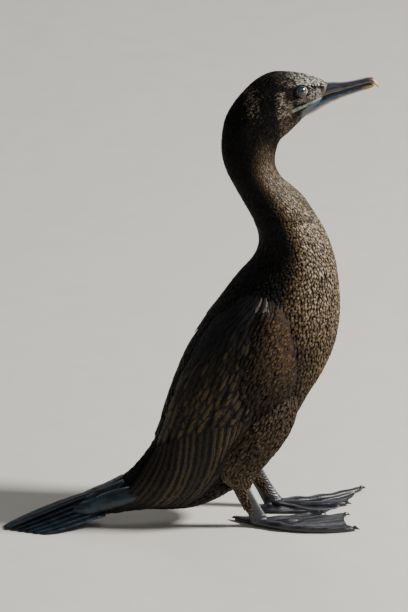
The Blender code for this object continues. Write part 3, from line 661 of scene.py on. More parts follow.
def insideThigh(spots):
    inside = np.zeros(len(spots), bool)
    for side, sign in sides.items():
        lean = ankles[side][0] - thighRows[thighEnd, 1]
        z = spots[:, 2]
        x, y, deep, wide = (np.interp(-z, -thighRows[:, 0], thighRows[:, k]) for k in (1, 2, 3, 4))
        x = x + lean * thighShare(z)
        far = ((spots[:, 0] - x) / deep) ** 2 + ((spots[:, 1] * sign - y) / wide) ** 2
        inside |= (far < 0.75) & (z < 109) & (z > thighRows[thighEnd, 0])
    return inside


def staggered(first, last, countAt, stepAt):
    # places in rows round a form, every second row half a place further on
    t, row, found = first, 0, []
    while t < last:
        count = countAt(t)
        angles = (np.arange(count) + 0.5 * (row % 2)) * 360 / count
        found.append(np.stack([np.full(count, t), angles], -1))
        t += stepAt(t)
        row += 1
    return np.concatenate(found)


def coatRoots(first, last, draw):
    def countAt(t):
        deep = np.linalg.norm(bodyChart(t, 0.0, 0.0) - bodyChart(t, 180.0, 0.0)) / 2
        wide = bodyChart(t, 90.0, 0.0)[1]
        return int(2 * math.pi * math.hypot(deep, wide) / math.sqrt(2) / coatAt(t, 2))

    def stepAt(t):
        return coatAt(t, 1) / chartScale(bodyChart, np.array([t]), np.array([90.0]), 0)[0]
    roots = staggered(first, last, countAt, stepAt)
    size = coatAt(roots[:, 0], 1)
    lengthwise = chartScale(bodyChart, roots[:, 0], roots[:, 1], 0)
    middle = chartScale(bodyChart, roots[:, 0], np.full(len(roots), 90.0), 0)
    keep = draw.random(len(roots)) < lengthwise / middle * 1.1
    roots[:, 0] += draw.normal(0, 0.2, len(roots)) * size / lengthwise
    roots[:, 1] += draw.normal(0, 0.2, len(roots)) * size / chartScale(bodyChart, roots[:, 0], roots[:, 1], 1)
    # none grow where the folded wing lies, or inside the thighs
    t, folded = roots[:, 0], fromBack(roots[:, 1])
    start, end = wingEdges(t)
    inner = smoothStep(t, 19.0, 21.5)
    under = (folded > start + 4 + 4 * inner) & (folded < end - 5) & (t > 19.6) & (t < 28.2)
    return roots[keep & ~under & ~insideThigh(bodyChart(t, roots[:, 1], 0.0)) & (t > 0.05)]


def clearOfFace(roots, spans):
    # no feather grows on or hangs over the eye, the bill or the bare gape
    keep = np.ones(len(roots), bool)
    for share in (0.0, 0.5, 1.0):
        x, _, z = bodyChart(roots[:, 0] + spans * share, roots[:, 1], 0.0).T
        keep &= np.hypot(x - eye["place"][0], z - eye["place"][2]) > eye["clear"]
        keep &= (gapeAt(x, z) < 0.2) & (slateAt(x, z) < 0.35)
    return keep


def makeCoat(material):
    for number, (name, (first, last, rows)) in enumerate(coatZones.items()):
        draw = np.random.default_rng(20 + number)
        roots = coatRoots(first, last, draw)
        t, a = roots.T
        lengths = coatAt(t, 3) * draw.uniform(*coat["size"], len(t))
        spans = np.minimum(lengths / chartScale(bodyChart, t, a, 0), bodyEnd - t - 0.05)
        if first < 5:
            keep = clearOfFace(roots, spans)
            roots, spans = roots[keep], spans[keep]
            t, a = roots.T
        half = coatAt(t, 4) * draw.uniform(*coat["size"], len(t))
        lift = coatAt(t, 6) * draw.uniform(*coat["lift"], len(t))
        # those along the back lie over the edges of both wings
        onBack = 1 - smoothStep(fromBack(a), 5, 14)
        onBack = coat["backLift"] * onBack * smoothStep(t, *coat["backFrom"]) * smoothStep(t, *coat["backTo"])
        lift = lift + onBack
        look = {
            "rows": rows, "across": (-1, 0, 1), "half": half, "depth": coatAt(t, 5), "lift": lift,
            "ridge": coat["ridge"], "sway": coat["sway"], "tilt": coat["tilt"],
        }
        marks = markings(bodyChart(t, a, 0.0), t, a, draw)
        corners = columns((a % 360) / 360, (t - first + 0.2) / (last - first + 0.6)) * 0.98
        mesh = layVanes(name, bodyChart, roots, spans, look, marks, corners, draw)
        finish(name, mesh, material)
        print(name, len(roots), "feathers")


shoulder = {
    # sections and shares of the wing's width, the x and z of the cream streaks, which stay clear,
    # and how far the feathers lie over the wing at a share of its width
    "count": 1400, "sections": (18.3, 22.8), "shares": (0.55, 1.22), "streaks": ((-27, -9), (190, 219)),
    "length": 9.0, "half": (1.7, 2.4), "ridge": 0.22, "sway": 0.35, "tilt": 0.12,
    "over": ((0.6, 2.2), (0.9, 2.0), (1.0, 1.7), (1.1, 1.2), (1.22, 0.1)),
}


def makeShoulderBlend(material):
    # breast feathers lie over the front of the folded wing and hide its edge
    for side, sign in sides.items():
        draw, count, chart = np.random.default_rng(50 + sign), shoulder["count"], sideChart(side)
        t, share = draw.uniform(*shoulder["sections"], count), draw.uniform(*shoulder["shares"], count)
        start, end = wingEdges(t)
        fade = smoothStep(share, 0.6, 0.92) * (1 - smoothStep(t + 2.2 * (1 - share), 21.6, 23.2))
        streaks = inBox(chart(t + 0.5, start * (1 - share) + end * share, 0.0), shoulder["streaks"])
        kept = (draw.random(count) < fade) & ~streaks
        t, share, a = t[kept], share[kept], (start + (end - start) * share)[kept]
        spans = shoulder["length"] * draw.uniform(0.8, 1.2, len(t)) / chartScale(bodyChart, t, a, 0)
        over = curve(share, shoulder["over"]) * smoothStep(t, 18.0, 19.0)
        look = {
            "rows": contourRows, "across": (-1, 0, 1), "half": draw.uniform(*shoulder["half"], len(t)),
            "depth": -over + 0.5, "lift": over + draw.uniform(0.1, 0.7, len(t)),
            "ridge": shoulder["ridge"], "sway": shoulder["sway"], "tilt": shoulder["tilt"],
        }
        tone = draw.random(len(t))
        # towards later sections the pale tips fade and the brown darkens: painted shade, as on the flank
        # beside the wing
        pale = 0.6 * smoothStep(share, 0.72, 1.05) * (1 - smoothStep(t, 19.5, 22.5)) * (0.2 + 0.8 * tone)
        brown = (0.2 + 0.8 * smoothStep(share, 0.6, 1.0)) * (1 - 0.6 * smoothStep(t, 20.2, 22.0))
        marks = columns(pale, brown, draw.random(len(t)), 0.0)
        corners = columns((a % 360) / 360, (t - 18) / 6) * 0.98
        name = f"shoulderBlend_{side}"
        mesh = layVanes(name, chart, columns(t, a), spans, look, marks, corners, draw)
        finish(name, mesh, material)
    print("shoulder blend")


thighCoat = {
    # by row of the leg's table: feathers round it, their span in rows, half width, depth and lift
    # in mm, and their marks: darkest at the top, where it meets the flank, greyer down the shank
    "around": ((0, 26), (1, 36), (4, 34), (7, 26), (8, 20)), "step": 2.1,
    "span": ((0, 0.7), (5, 0.75), (7, 0.6), (10, 0.55)), "half": ((0, 2.3), (5, 1.9), (7, 1.1), (10, 0.9)),
    "depth": ((0, 1.6), (7, 1.6), (8, 0.4), (10, 0.4)), "lift": ((0, 0.3), (7, 0.3), (8, 0.5)),
    "pale": ((0, 0.45), (3, 0.62), (6, 1.25)), "brown": ((0, 0.8), (3, 0.85), (8, 0.8)),
    "ridge": 0.22, "sway": 0.4, "tilt": 0.15,
}


def makeThighCoat(material):
    for side, sign in sides.items():
        draw, chart = np.random.default_rng(40 + sign), thighChart(side)

        def stepAt(t):
            return thighCoat["step"] / chartScale(chart, np.array([t]), np.array([90.0]), 0)[0]
        roots = staggered(0.0, len(thighRows) - 2, lambda t: int(curve(t, thighCoat["around"])), stepAt)
        roots += draw.normal(0, 1, roots.shape) * np.array([0.05, 2.0])
        # the front of the shank is bare
        ahead = np.abs((roots[:, 1] + 180) % 360 - 180)
        roots = roots[ahead > 75 * smoothStep(roots[:, 0], 6.2, 7.2) + 15 * smoothStep(roots[:, 0], 8, 9)]
        t, a = roots.T
        spans = curve(t, thighCoat["span"]) * draw.uniform(0.75, 1.2, len(t))
        look = {
            "rows": contourRows, "across": (-1, 0, 1), "half": curve(t, thighCoat["half"]),
            "depth": curve(t, thighCoat["depth"]),
            "lift": curve(t, thighCoat["lift"]) * draw.uniform(0.3, 1.6, len(t)),
            "ridge": thighCoat["ridge"], "sway": thighCoat["sway"], "tilt": thighCoat["tilt"],
        }
        tone = draw.random(len(t))
        pale = 0.42 * (0.4 + 0.6 * tone) * curve(t, thighCoat["pale"])
        brown = (0.7 + 0.3 * tone) * curve(t, thighCoat["brown"])
        marks = columns(pale, brown, draw.random(len(t)), 0.12)
        corners = columns((a % 360) / 360, t / len(thighRows)) * 0.98
        name = f"thighFeathers_{side}"
        finish(name, layVanes(name, chart, roots, spans, look, marks, corners, draw), material)
    print("thigh feathers")


wing = {
    # the sections of the first and last tier's tips at the wing's back and low edges, and of the
    # foremost root; mm between coverts in the first tier and more in the last; the x and z of the
    # cream streaks on the shoulder, and of one cream feather lower down
    "tiers": 17, "tipsBack": (19.2, 25.9), "tipsLow": (18.9, 23.0), "firstRoot": 18.3,
    "covertApart": (4.0, 1.9), "covertHalf": 0.66, "covertLength": (0.75, 0.7), "lift": (0.5, 1.9),
    "streaks": ((-25, -8), (192, 214)), "lowStreak": (-30, 153), "coreGrid": (64, 60),
    "flightFeathers": 17, "flightArc": 76.0, "flightHalf": 0.72, "flightCovered": 1.6,
    "flightTips": (
        # root as a share of the wing's width, then the section and the angle of the tip
        (0.0, 29.9, 80), (0.05, 29.9, 86), (0.13, 29.8, 105), (0.21, 29.7, 122), (0.30, 29.4, 138),
        (0.38, 28.9, 138), (0.46, 28.4, 133), (0.55, 27.9, 129), (0.63, 27.4, 127), (0.71, 26.95, 121),
        (0.80, 26.5, 112), (0.88, 26.0, 104), (0.96, 25.4, 97), (1.0, 25.0, 95),
    ),
    "flightLook": {
        "depth": 0.9, "lift": 1.3, "ridge": 0.10, "sway": 0.05, "tilt": 0.0, "thick": 0.5, "shaft": 0.3,
        "patch": (0.05, 0.9),
    },
    "covertLook": {
        "depth": 0.3, "ridge": 0.14, "sway": 0.16, "tilt": 0.08, "thick": 0.4, "shaft": 0.15,
        "patch": (0.03, 0.03),
    },
}
covertRows = (
    (0.0, 0.6, 0.0), (0.2, 0.9, 0.35), (0.4, 1.0, 0.6), (0.6, 1.0, 0.8), (0.78, 0.92, 0.92), (0.9, 0.7, 1.0),
    (0.97, 0.42, 1.0), (1.0, 0.1, 1.0),
)
flightRows = (
    (0.0, 0.8, 0.0), (0.15, 0.95, 0.3), (0.3, 1.0, 0.5), (0.45, 1.0, 0.65), (0.6, 1.0, 0.78),
    (0.72, 0.97, 0.88), (0.84, 0.86, 0.95), (0.92, 0.7, 1.0), (0.97, 0.48, 1.0), (1.0, 0.12, 1.0),
)
quillAcross = (-1, -0.6, -0.12, 0, 0.12, 0.6, 1)


def wingMaterial():
    # covert and flight feathers: stiffer vanes, bronze in the middle, near black at the edges
    made, shader, add, place = newMaterial("wingFeathers", {"Roughness": 0.55, "Specular IOR Level": 0.22})
    mark, vane = attributeParts(add, "mark"), attributeParts(add, "vane")
    side = add("Math", [vane["Y"]], operation="ABSOLUTE")[0]
    wear = add("TexNoise", {"Vector": place, "Scale": 420.0, "Detail": 4.0})[0]  # 2.4 mm
    # the pale middle is a worn oval, ragged at its edge
    across = add("Math", [side, (wear, 0.3, 0.7, -0.22, 0.22)], operation="ADD")[0]
    inner = add("Math", [(across, 0.52, 0.22), (vane["X"], 0.95, 0.82)], operation="MULTIPLY")[0]
    inner = add("Math", [inner, mark["X"]], operation="MULTIPLY")[0]
    # a few feathers of the shoulder are streaked with cream
    cream = add("Math", [(across, 0.52, 0.22), vane["Z"]], operation="MULTIPLY")[0]
    lines = barbLines(add, vane, side, 0.16, 190.0)  # 0.9 mm apart, coarser than barbs, so that they show
    bronze = layered(add, "#0d151a", [(mark["Y"], "#55452a")])
    shaft = (side, 0.10, 0.03, 0.0, 0.7)
    colour = layered(add, "#050505", [(inner, bronze), (cream, "#a3937b"), (shaft, "#060606")], [
        (wear, 0.3, 0.7, 0.6, 1.4), (mark["Z"], 0.0, 1.0, 0.35, 1.15), (lines, -1.0, 1.0, 0.85, 1.12),
    ])
    relief = add("Math", [lines, wear], operation="ADD")[0]
    surface(shader, add, colour, (wear, 0.3, 0.7, 0.45, 0.68), relief, 0.3, 0.0002)
    return made


def corePlace(side):
    # the pad of small feathers and bone that the vanes lie on; its ends close to a line
    def place(u, v):
        t = wingRows[0, 0] + (wingRows[-1, 0] - wingRows[0, 0]) * v
        share = 0.02 + 0.96 * np.where(u <= 0.5, u * 2, 2 - u * 2)
        depth = np.interp(t, wingRows[:, 0], wingThick) * np.clip(np.minimum(v, 1 - v) * 20, 0, 1)
        return toScene(wingChart(side)(t, share, np.where(u <= 0.5, 0.0, -depth))), {}
    return place


def makeFlightFeathers(side, material, draw):
    count, (shares, tips, ends) = wing["flightFeathers"], zip(*wing["flightTips"])
    share = np.linspace(0.03, 0.97, count)
    tip = np.interp(share, shares, tips) + draw.uniform(-0.06, 0.06, count)
    back, low = wing["tipsBack"][1], wing["tipsLow"][1]
    root = back + (low - back) * share - wing["flightCovered"]
    start, end = wingEdges(root)
    angle = start + (end - start) * share
    look = wing["flightLook"] | {
        "rows": flightRows, "across": quillAcross, "half": wing["flightHalf"] * wing["flightArc"] / count,
        "drift": np.interp(share, shares, ends) - angle,
    }
    marks = columns(0.75, 0.8, draw.random(count), 0.0)
    corners = columns(0.03 + np.arange(count) / count * 0.92, 0.03)
    name = f"flightFeathers_{side}"
    mesh = layVanes(name, sideChart(side), columns(root, angle), tip - root, look, marks, corners, draw)
    finish(name, mesh, material, (f"wing_{side}",))


def makeCoverts(side, material, draw):
    chart, found = wingChart(side), []
    for tier in range(wing["tiers"]):
        place = tier / (wing["tiers"] - 1)
        backTip, lowTip = (
            first + (last - first) * place for first, last in (wing["tipsBack"], wing["tipsLow"])
        )
        arc = chartScale(chart, np.array([(lowTip + backTip) / 2]), np.array([0.5]), 1)[0]
        many = max(int(arc / (wing["covertApart"][0] + wing["covertApart"][1] * place)), 4)
        share = (np.arange(many) + 0.25 + 0.5 * (tier % 2)) / many
        share = np.clip(share + draw.normal(0, 0.16, many) / many, 0.02, 0.98)
        tip = backTip + (lowTip - backTip) * share + draw.normal(0, 0.09, many)
        length = wing["covertLength"][0] + wing["covertLength"][1] * place
        root = np.maximum(tip - length * draw.uniform(0.85, 1.15, many), wing["firstRoot"])
        half = wing["covertHalf"] * arc / many * draw.uniform(0.85, 1.15, many)
        found.append(columns(root, share, tip - root, half, place))
    root, share, spans, halves, rowOf = np.concatenate(found).T
    within = smoothStep(share, 0.0, 0.16) * smoothStep(share, 1.0, 0.9) * smoothStep(root + spans, 18.8, 20.4)
    tone = draw.random(len(root))
    brown = smoothStep(rowOf + share ** 2 + draw.normal(0, 0.12, len(root)), 0.4, 0.8)
    spots = chart(root + spans * 0.7, share, 0.0)
    cream = inBox(spots, wing["streaks"]) * (draw.random(len(root)) < 0.8) * 0.85
    x, z = wing["lowStreak"]
    cream[np.argmin(np.hypot(spots[:, 0] - x, spots[:, 2] - z))] = 0.8
    marks = columns(0.45 + 0.55 * rowOf, brown, tone, cream)
    low, high = wing["lift"]
    look = wing["covertLook"] | {
        "rows": covertRows, "across": quillAcross, "half": halves,
        "lift": (low + (high - low) * within) * draw.uniform(0.85, 1.15, len(root)),
    }
    corners = columns(0.03 + share * 0.92, (root - 18) / 8.5 * 0.95)
    name = f"wingCoverts_{side}"
    mesh = layVanes(name, chart, columns(root, share), spans, look, marks, corners, draw)
    finish(name, mesh, material)
    print("wing", side, len(root), "coverts")


def makeWings(material):
    for side, sign in sides.items():
        draw = np.random.default_rng(60 + sign)
        finish(f"wingCore_{side}", bent(*wing["coreGrid"], corePlace(side)), material)
        makeFlightFeathers(side, material, draw)
        makeCoverts(side, material, draw)


tail = {
    "pairs": 6, "root": (-150.0, 32.0, 3.7), "tip": (-237.0, 5.8, 1.2), "rootSide": (1.5, 1.9),
    "tipSide": (2.7, 3.4), "roll": ((6.0, 4.0), (3.0, 2.2)), "apart": 1000.0,
    "look": {
        "half": 6.6, "depth": 0.0, "lift": 0.0, "ridge": 0.04, "sway": 0.04, "tilt": 0.0, "thick": 0.6,
        "shaft": 0.45, "patch": (0.07, 0.9),
    },
    # the section of each row of coverts over the tail's root and how many it has, and their span
    "coverts": ((28.6, 7), (29.6, 8), (30.6, 9)), "covertSpan": 2.4,
    "covertLook": {
        "half": 5.2, "depth": -0.8, "lift": 2.2, "ridge": 0.12, "sway": 0.1, "tilt": 0.0, "thick": 0.4,
        "shaft": 0.2, "patch": (0.03, 0.2),
    },
}
tailRows = (
    (0.0, 0.5, 0.5), (0.15, 0.68, 0.5), (0.3, 0.85, 0.5), (0.45, 0.95, 0.5), (0.6, 1.0, 0.5),
    (0.74, 0.95, 0.5), (0.85, 0.82, 0.5), (0.92, 0.66, 0.5), (0.97, 0.42, 0.5), (1.0, 0.12, 0.5),
)


def tailChart(t, across, out):
    # the place across also says which feather: they are numbered in steps of tail["apart"]
    t, across, out = np.broadcast_arrays(t, across, out)
    number = np.round(across / tail["apart"])
    across = across - number * tail["apart"]
    pair, sign = np.floor(number / 2), np.where(number % 2 == 0, -1.0, 1.0)
    rootX, rootZ, drop = tail["root"]
    tipX, step, tipZ = tail["tip"]
    x = rootX + (tipX + step * pair - rootX) * t
    near, far = (first + more * pair for first, more in (tail["rootSide"], tail["tipSide"]))
    y = near * (1 - t) + far * t
    z = tipZ + (rootZ - drop * pair - tipZ) * (1 - np.clip(t, 0, 1) ** 1.25)
    (rootRoll, rootMore), (tipRoll, tipMore) = tail["roll"]
    roll = np.radians((rootRoll + rootMore * pair) * (1 - t) + (tipRoll + tipMore * pair) * t)
    c, s = np.cos(roll), np.sin(roll)
    spots = np.stack([x + 0.15 * out, y + across * c * sign + s * out, z - across * s * sign + c * out], -1)
    return spots * np.stack([np.ones_like(sign), sign, np.ones_like(sign)], -1)


def tailMaterial():
    # stiff tail feathers: blue-black, smoother and shinier than the wing's
    made, shader, add, place = newMaterial("tailFeathers", {"Roughness": 0.38, "Specular IOR Level": 0.5})
    mark, vane = attributeParts(add, "mark"), attributeParts(add, "vane")
    side = add("Math", [vane["Y"]], operation="ABSOLUTE")[0]
    wear = add("TexNoise", {"Vector": place, "Scale": 140.0, "Detail": 5.0})[0]  # 7 mm
    colour = layered(add, "#08151c", [
        ((wear, 0.4, 0.7), "#102a37"), ((vane["X"], 0.8, 1.0, 0.0, 0.5), "#22282b"),
        ((side, 0.8, 0.98, 0.0, 0.6), "#07080a"),
    ], [(mark["Z"], 0.0, 1.0, 0.8, 1.2)])
    lines = barbLines(add, vane, side, 0.10, 560.0)  # 1 mm apart, coarser than barbs, so that they show
    surface(shader, add, colour, (wear, 0.3, 0.7, 0.28, 0.5), lines, 0.3, 0.0002)
    return made


def makeTail():
    draw, horny = np.random.default_rng(80), tailMaterial()
    count = 2 * tail["pairs"]
    number = np.arange(count)
    look = tail["look"] | {"rows": tailRows, "across": quillAcross}
    marks, roots = columns(1.0, 0.0, draw.random(count), 0.0), columns(0.0, number * tail["apart"])
    corners = columns(0.05 + number / count * 0.93, 0.03)
    mesh = layVanes("tailFeathers", tailChart, roots, np.ones(count), look, marks, corners, draw)
    finish("tailFeathers", mesh, horny, ("tail",))
    # glossy coverts run from the rump over the tail's root
    roots = np.array([
        (row + draw.normal(0, 0.1), angle + draw.normal(0, 3))
        for row, many in tail["coverts"] for angle in np.linspace(-78, 78, many)
    ])
    t, a = roots.T
    look = tail["covertLook"] | {"rows": covertRows, "across": quillAcross}
    marks = columns(1.0, 0.0, draw.random(len(t)), 0.0)
    spans = np.minimum(tail["covertSpan"], bodyEnd - 0.1 - t)
    corners = columns((a + 90) / 180 * 0.9 + 0.03, (t - 28.3) / 3 * 0.75)
    mesh = layVanes("tailCoverts", bodyChart, roots, spans, look, marks, corners, draw)
    finish("tailCoverts", mesh, horny)
    print("tail")


billUpper = np.array([
    (24, 374.5, 384.0, 4.6), (36, 377.6, 388.0, 5.6), (46, 380.9, 390.6, 5.0), (55, 383.0, 390.3, 4.2),
    (64, 385.4, 391.0, 3.7), (73, 387.6, 392.6, 3.3), (79, 388.8, 393.8, 3.1), (83.5, 388.0, 393.3, 2.8),
    (86.8, 385.8, 390.8, 2.2), (88.9, 384.0, 387.8, 1.3), (89.6, 383.2, 385.4, 0.6),
])
billLower = np.array([
    (15, 361.8, 366.6, 4.6), (22, 361.4, 369.6, 6.4), (30, 363.4, 373.1, 6.6), (38, 367.6, 376.9, 5.9),
    (46, 371.8, 379.5, 4.9), (56, 376.1, 382.0, 4.0), (66, 379.6, 384.4, 3.4), (76, 382.4, 386.6, 2.8),
    (82, 384.2, 387.4, 2.2), (84.4, 385.4, 387.0, 1.2),
])
bill = {
    # the heights and half widths of the groove and the cutting edge are shares of the half's height
    "grid": (64, 130), "mouthGrid": (32, 60), "groove": (0.62, 0.07), "grooveDepth": 0.10,
    "edge": (0.06, 0.05), "edgeOut": 0.05, "flakes": 0.06,
    # colour, blots, and bands by the height from the edge (X), x in mm / 100 (Y) or the groove (Z)
    # upper: the band near the top is lighter as a painted sheen, and the darkest band at the very cutting
    # edge is the painted shade of the mouth line
    "upper": ("#1c1d24", "#34353d", (
        ("X", 0.62, 0.95, "#2c2b31"), ("Z", 0.3, 0.9, "#0d0c10"), ("X", 0.22, 0.12, "#6f6644"),
        ("X", 0.09, 0.04, "#17151a"), ("Y", 0.79, 0.83, "#543a20"), ("Y", 0.832, 0.866, "#b89c6e"),
    )),
    # lower: the dark band along the top edge is the painted shade of the mouth line
    "lower": ("#252f3b", "#3d4853", (
        ("X", 0.34, 0.66, "#4c5053"), ("X", 0.56, 0.82, "#c79f84"), ("X", 0.16, 0.04, "#0d0f14"),
        ("Y", 0.30, 0.22, "#5d5147"), ("Y", 0.72, 0.83, "#8d6c34"),
    )),
    # the mouth's sheet: near black, as painted shade
    "inside": ("#0c0a0a", "#191314", (("X", 0.4, 0.6, "#120d0e"),)),
}


def billMaterial(name, base, blot, bands):
    # horn: smooth keratin, darker plates above a paler cutting edge, satin with fine lengthwise wear
    made, shader, add, place = newMaterial(name, {
        "Roughness": 0.35, "Specular IOR Level": 0.5, "Coat Weight": 0.25, "Coat Roughness": 0.2,
    })
    part = attributeParts(add, "part")
    stretched = add("Mapping", {"Vector": place, "Scale": (60.0, 500.0, 500.0)})[0]  # 17 mm by 2 mm
    grain = add("TexNoise", {"Vector": stretched, "Scale": 1.0, "Detail": 4.0})[0]
    blots = add("TexNoise", {"Vector": place, "Scale": 160.0, "Detail": 3.0})[0]  # 6 mm
    tints = [((part[value], low, high), tint) for value, low, high, tint in bands]
    colour = layered(add, base, [((blots, 0.35, 0.65), blot)] + tints, [(grain, 0.3, 0.7, 0.72, 1.2)])
    surface(shader, add, colour, (grain, 0.3, 0.7, 0.28, 0.46), grain, 0.25, 0.0003)
    return made


def billPlace(rows, flatTop):
    def place(u, v):
        x, low, high, wide = np.moveaxis(tableAt(rows, v * (len(rows) - 1)), -1, 0)
        turn = turned(u)
        height = ((1 - np.cos(turn)) / 2) ** 1.15
        side = np.sign(np.sin(turn)) * np.abs(np.sin(turn)) ** 0.8
        reach = smoothStep(x, 36, 44) * (1 - smoothStep(x, 72, 80))
        groove, lip = (np.exp(-((height - at) / half) ** 2) for at, half in (bill["groove"], bill["edge"]))
        groove = groove * reach
        flakes = bill["flakes"] * np.sin(x * 2.1 + 3 * height) * np.exp(-((x - 50) / 9) ** 2)
        wide = wide * (1 - bill["grooveDepth"] * groove + bill["edgeOut"] * lip) + flakes
        base, top = (high, low) if flatTop else (low, high)
        spots = np.stack([x, wide * side, base + (top - base) * height], -1)
        return toScene(spots), {"part": np.stack([height, x / 100, groove], -1)}
    return place


def makeBill():
    # a dark sheet, painted as the shade inside the closed mouth, closes the gap between the halves
    x = np.array([26.0, 38, 50, 62, 74, 83])
    floor, wide = (np.interp(x, billLower[:, 0], billLower[:, k]) for k in (2, 3))
    inside = np.stack([x, floor - 0.7, np.interp(x, billUpper[:, 0], billUpper[:, 1]) + 0.5, 0.8 * wide], -1)
    for name, grid, rows, flatTop, horn, look, replaced in (
        ("upperBill", bill["grid"], billUpper, False, "upperBillHorn", "upper", ("bill_upper",)),
        ("lowerBill", bill["grid"], billLower, True, "lowerBillHorn", "lower", ("bill_lower",)),
        ("mouthShadeSheet", bill["mouthGrid"], inside, False, "paintedMouthShade", "inside", ()),
    ):
        finish(name, bent(*grid, billPlace(rows, flatTop)), billMaterial(horn, *bill[look]), replaced)
    print("bill")


def eyeMaterial():
    # wet cornea over the iris: mirror-smooth, blue-green iris with a browner lower half
    made, shader, add, place = newMaterial("wetEye", {
        "Roughness": 0.12, "Coat Weight": 0.6, "Coat Roughness": 0.02,
    })
    iris = attributeParts(add, "iris")  # mm from the eye's axis, how far up and ahead, off the axis
    fibres = add("TexNoise", {"Vector": place, "Scale": 1800.0, "Detail": 3.0})[0]  # 0.6 mm
    connect(shader, {"Base Color": layered(add, "#37332a", [
        ((iris["Y"], -0.35, 0.35), "#1c3f4b"), ((fibres, 0.35, 0.65, 0.0, 0.35), "#3b5c64"),
        ((iris["X"], *eye["pupil"]), "#030303"), ((iris["X"], *eye["rim"]), "#07090b"),
    ])})
    return made


def lidMaterial():
    # beaded bare skin round the eye: pale in front, dark behind, orange-brown below
    made, shader, add, place = newMaterial("lidSkin", {"Roughness": 0.4, "Specular IOR Level": 0.45})
    part = attributeParts(add, "part")  # cosine and sine round the eye, bead
    grain = add("TexNoise", {"Vector": place, "Scale": 1200.0, "Detail": 2.0})[0]  # 0.8 mm
    ahead = add("Math", [part["X"], 0.6], operation="MULTIPLY")[0]
    below = add("Math", [part["Y"], -0.8, ahead], operation="MULTIPLY_ADD")[0]
    colour = layered(add, "#0b0908", [
        ((part["X"], 0.45, 0.9), "#b3ab97"), ((below, 0.75, 0.97, 0.0, 0.85), "#6e4120"),
    ], [(grain, 0.3, 0.7, 0.6, 1.2), (part["Z"], -1.0, 1.0, 0.6, 1.1)])
    surface(shader, add, colour, 0.4, grain, 0.4, 0.0002)
    return made


def makeEyes():
    wet, lidSkin = eyeMaterial(), lidMaterial()
    x, y, z = eye["place"]
    for side, sign in sides.items():
        def ballPlace(u, v):
            off, turn = math.pi * v, turned(u)
            far = eye["radius"] + eye["cornea"] * (1 - smoothStep(off, 0.1, 0.75))  # the cornea bulges
            way = np.stack([np.sin(off) * np.cos(turn), sign * np.cos(off), np.sin(off) * np.sin(turn)], -1)
            spots = np.array([x, sign * y, z]) + far[:, None] * way
            slant = (way[:, 0] + way[:, 2]) * math.sqrt(0.5) / np.maximum(np.sin(off), 0.1)
            return toScene(spots), {"iris": np.stack([
                eye["radius"] * np.sin(off) + 9 * (off > 1.6), slant, off,
            ], -1)}

        def lidPlace(u, v):
            tube, turn = turned(u), turned(v)
            bead = np.cos(eye["beads"] * turn)
            # the ring leans with the cheek
            normal = np.array([eye["leanAhead"], sign, eye["leanUp"]])
            ahead = np.array([1, -sign * eye["leanAhead"], 0])
            normal /= np.linalg.norm(normal)
            ahead /= np.linalg.norm(ahead)
            above = np.cross(normal, ahead) * -sign
            ring, thick = eye["ring"] * (1 - 0.05 * np.abs(np.sin(turn))), eye["tube"] * (1 + 0.12 * bead)
            far = (ring + thick * np.cos(tube))[:, None]
            way = np.cos(turn)[:, None] * ahead + np.sin(turn)[:, None] * above
            out = (thick * 0.9 * np.sin(tube))[:, None] * normal
            spots = np.array([x, sign * (y + eye["out"]), z]) + far * way + out
            return toScene(spots), {"part": np.stack([np.cos(turn), np.sin(turn), bead], -1)}
        finish(f"eyeball_{side}", bent(*eye["ballGrid"], ballPlace), wet, (f"eye_{side}",))
        finish(f"lids_{side}", bent(*eye["lidGrid"], lidPlace), lidSkin)
    print("eyes")


toes = {
    # length to the claw, half width at root and tip, height at root and tip, joints
    "outer": (84, 4.8, 2.8, 8.5, 4.8, 4), "middle": (72, 4.6, 2.6, 8.5, 4.6, 3),
    "inner": (50, 4.2, 2.5, 8.0, 4.4, 2), "hind": (26, 3.8, 2.3, 6.5, 4.0, 1),
}
toeTurns = {"right": (17, -10, -22, -133), "left": (20, -7, -36, -130)}
toeStretch = {"right": (1, 1.1, 1, 1), "left": (1.06, 0.91, 1, 1)}
toeBows = {"right": (-10, -5, -3, 0), "left": (-8, -4, -2, 0)}
foot = {
    # lengths in mm, the remesh's voxel in metres; knuckle: how much the joints swell
    "voxel": 0.0005, "smoothed": 3, "scute": 1.8, "scuteHigh": 0.3, "knuckle": 0.10,
    "webThick": 1.6, "webBay": 0.04, "webReach": 0.985, "webHigh": 1.4, "webSag": 2.6, "crease": 0.5,
    "claw": 5.6, "clawDrop": 1.4, "clawBack": 1.2, "clawWide": 0.62, "clawHigh": 0.42,
    "ankleHigh": 36.7, "heelHigh": 8.0, "heelBall": (7.3, 12.0), "tarsusWider": {"right": 0.96, "left": 1.12},
    "toeGrid": (24, 90), "hindGrid": (24, 40), "tarsusGrid": (24, 40), "heelGrid": (24, 16),
    "webGrid": (26, 50), "clawGrid": (16, 20),
}
# The tarsus: share from ankle to heel, half depth and half width
tarsusRows = np.array([
    (-0.16, 7.6, 5.6), (0.0, 8.0, 5.2), (0.3, 7.4, 4.2), (0.7, 7.2, 4.0), (1.0, 8.0, 5.0), (1.2, 8.2, 5.6),
])


def toeLine(side, number, share):
    # the middle of a toe on the floor, and the ways along and across it
    length = list(toes.values())[number][0] * toeStretch[side][number]
    sign, turn = sides[side], math.radians(toeTurns[side][number])
    axis = np.array([math.cos(turn), sign * math.sin(turn), 0])
    across = np.array([-axis[1], axis[0], 0])
    heel = np.array([heels[side][0], sign * heels[side][1], 0.0])
    share = np.asarray(share, float)[..., None]
    bow = across * toeBows[side][number] * 4 * share * (1 - share)
    return heel + axis * length * share + bow, axis, across


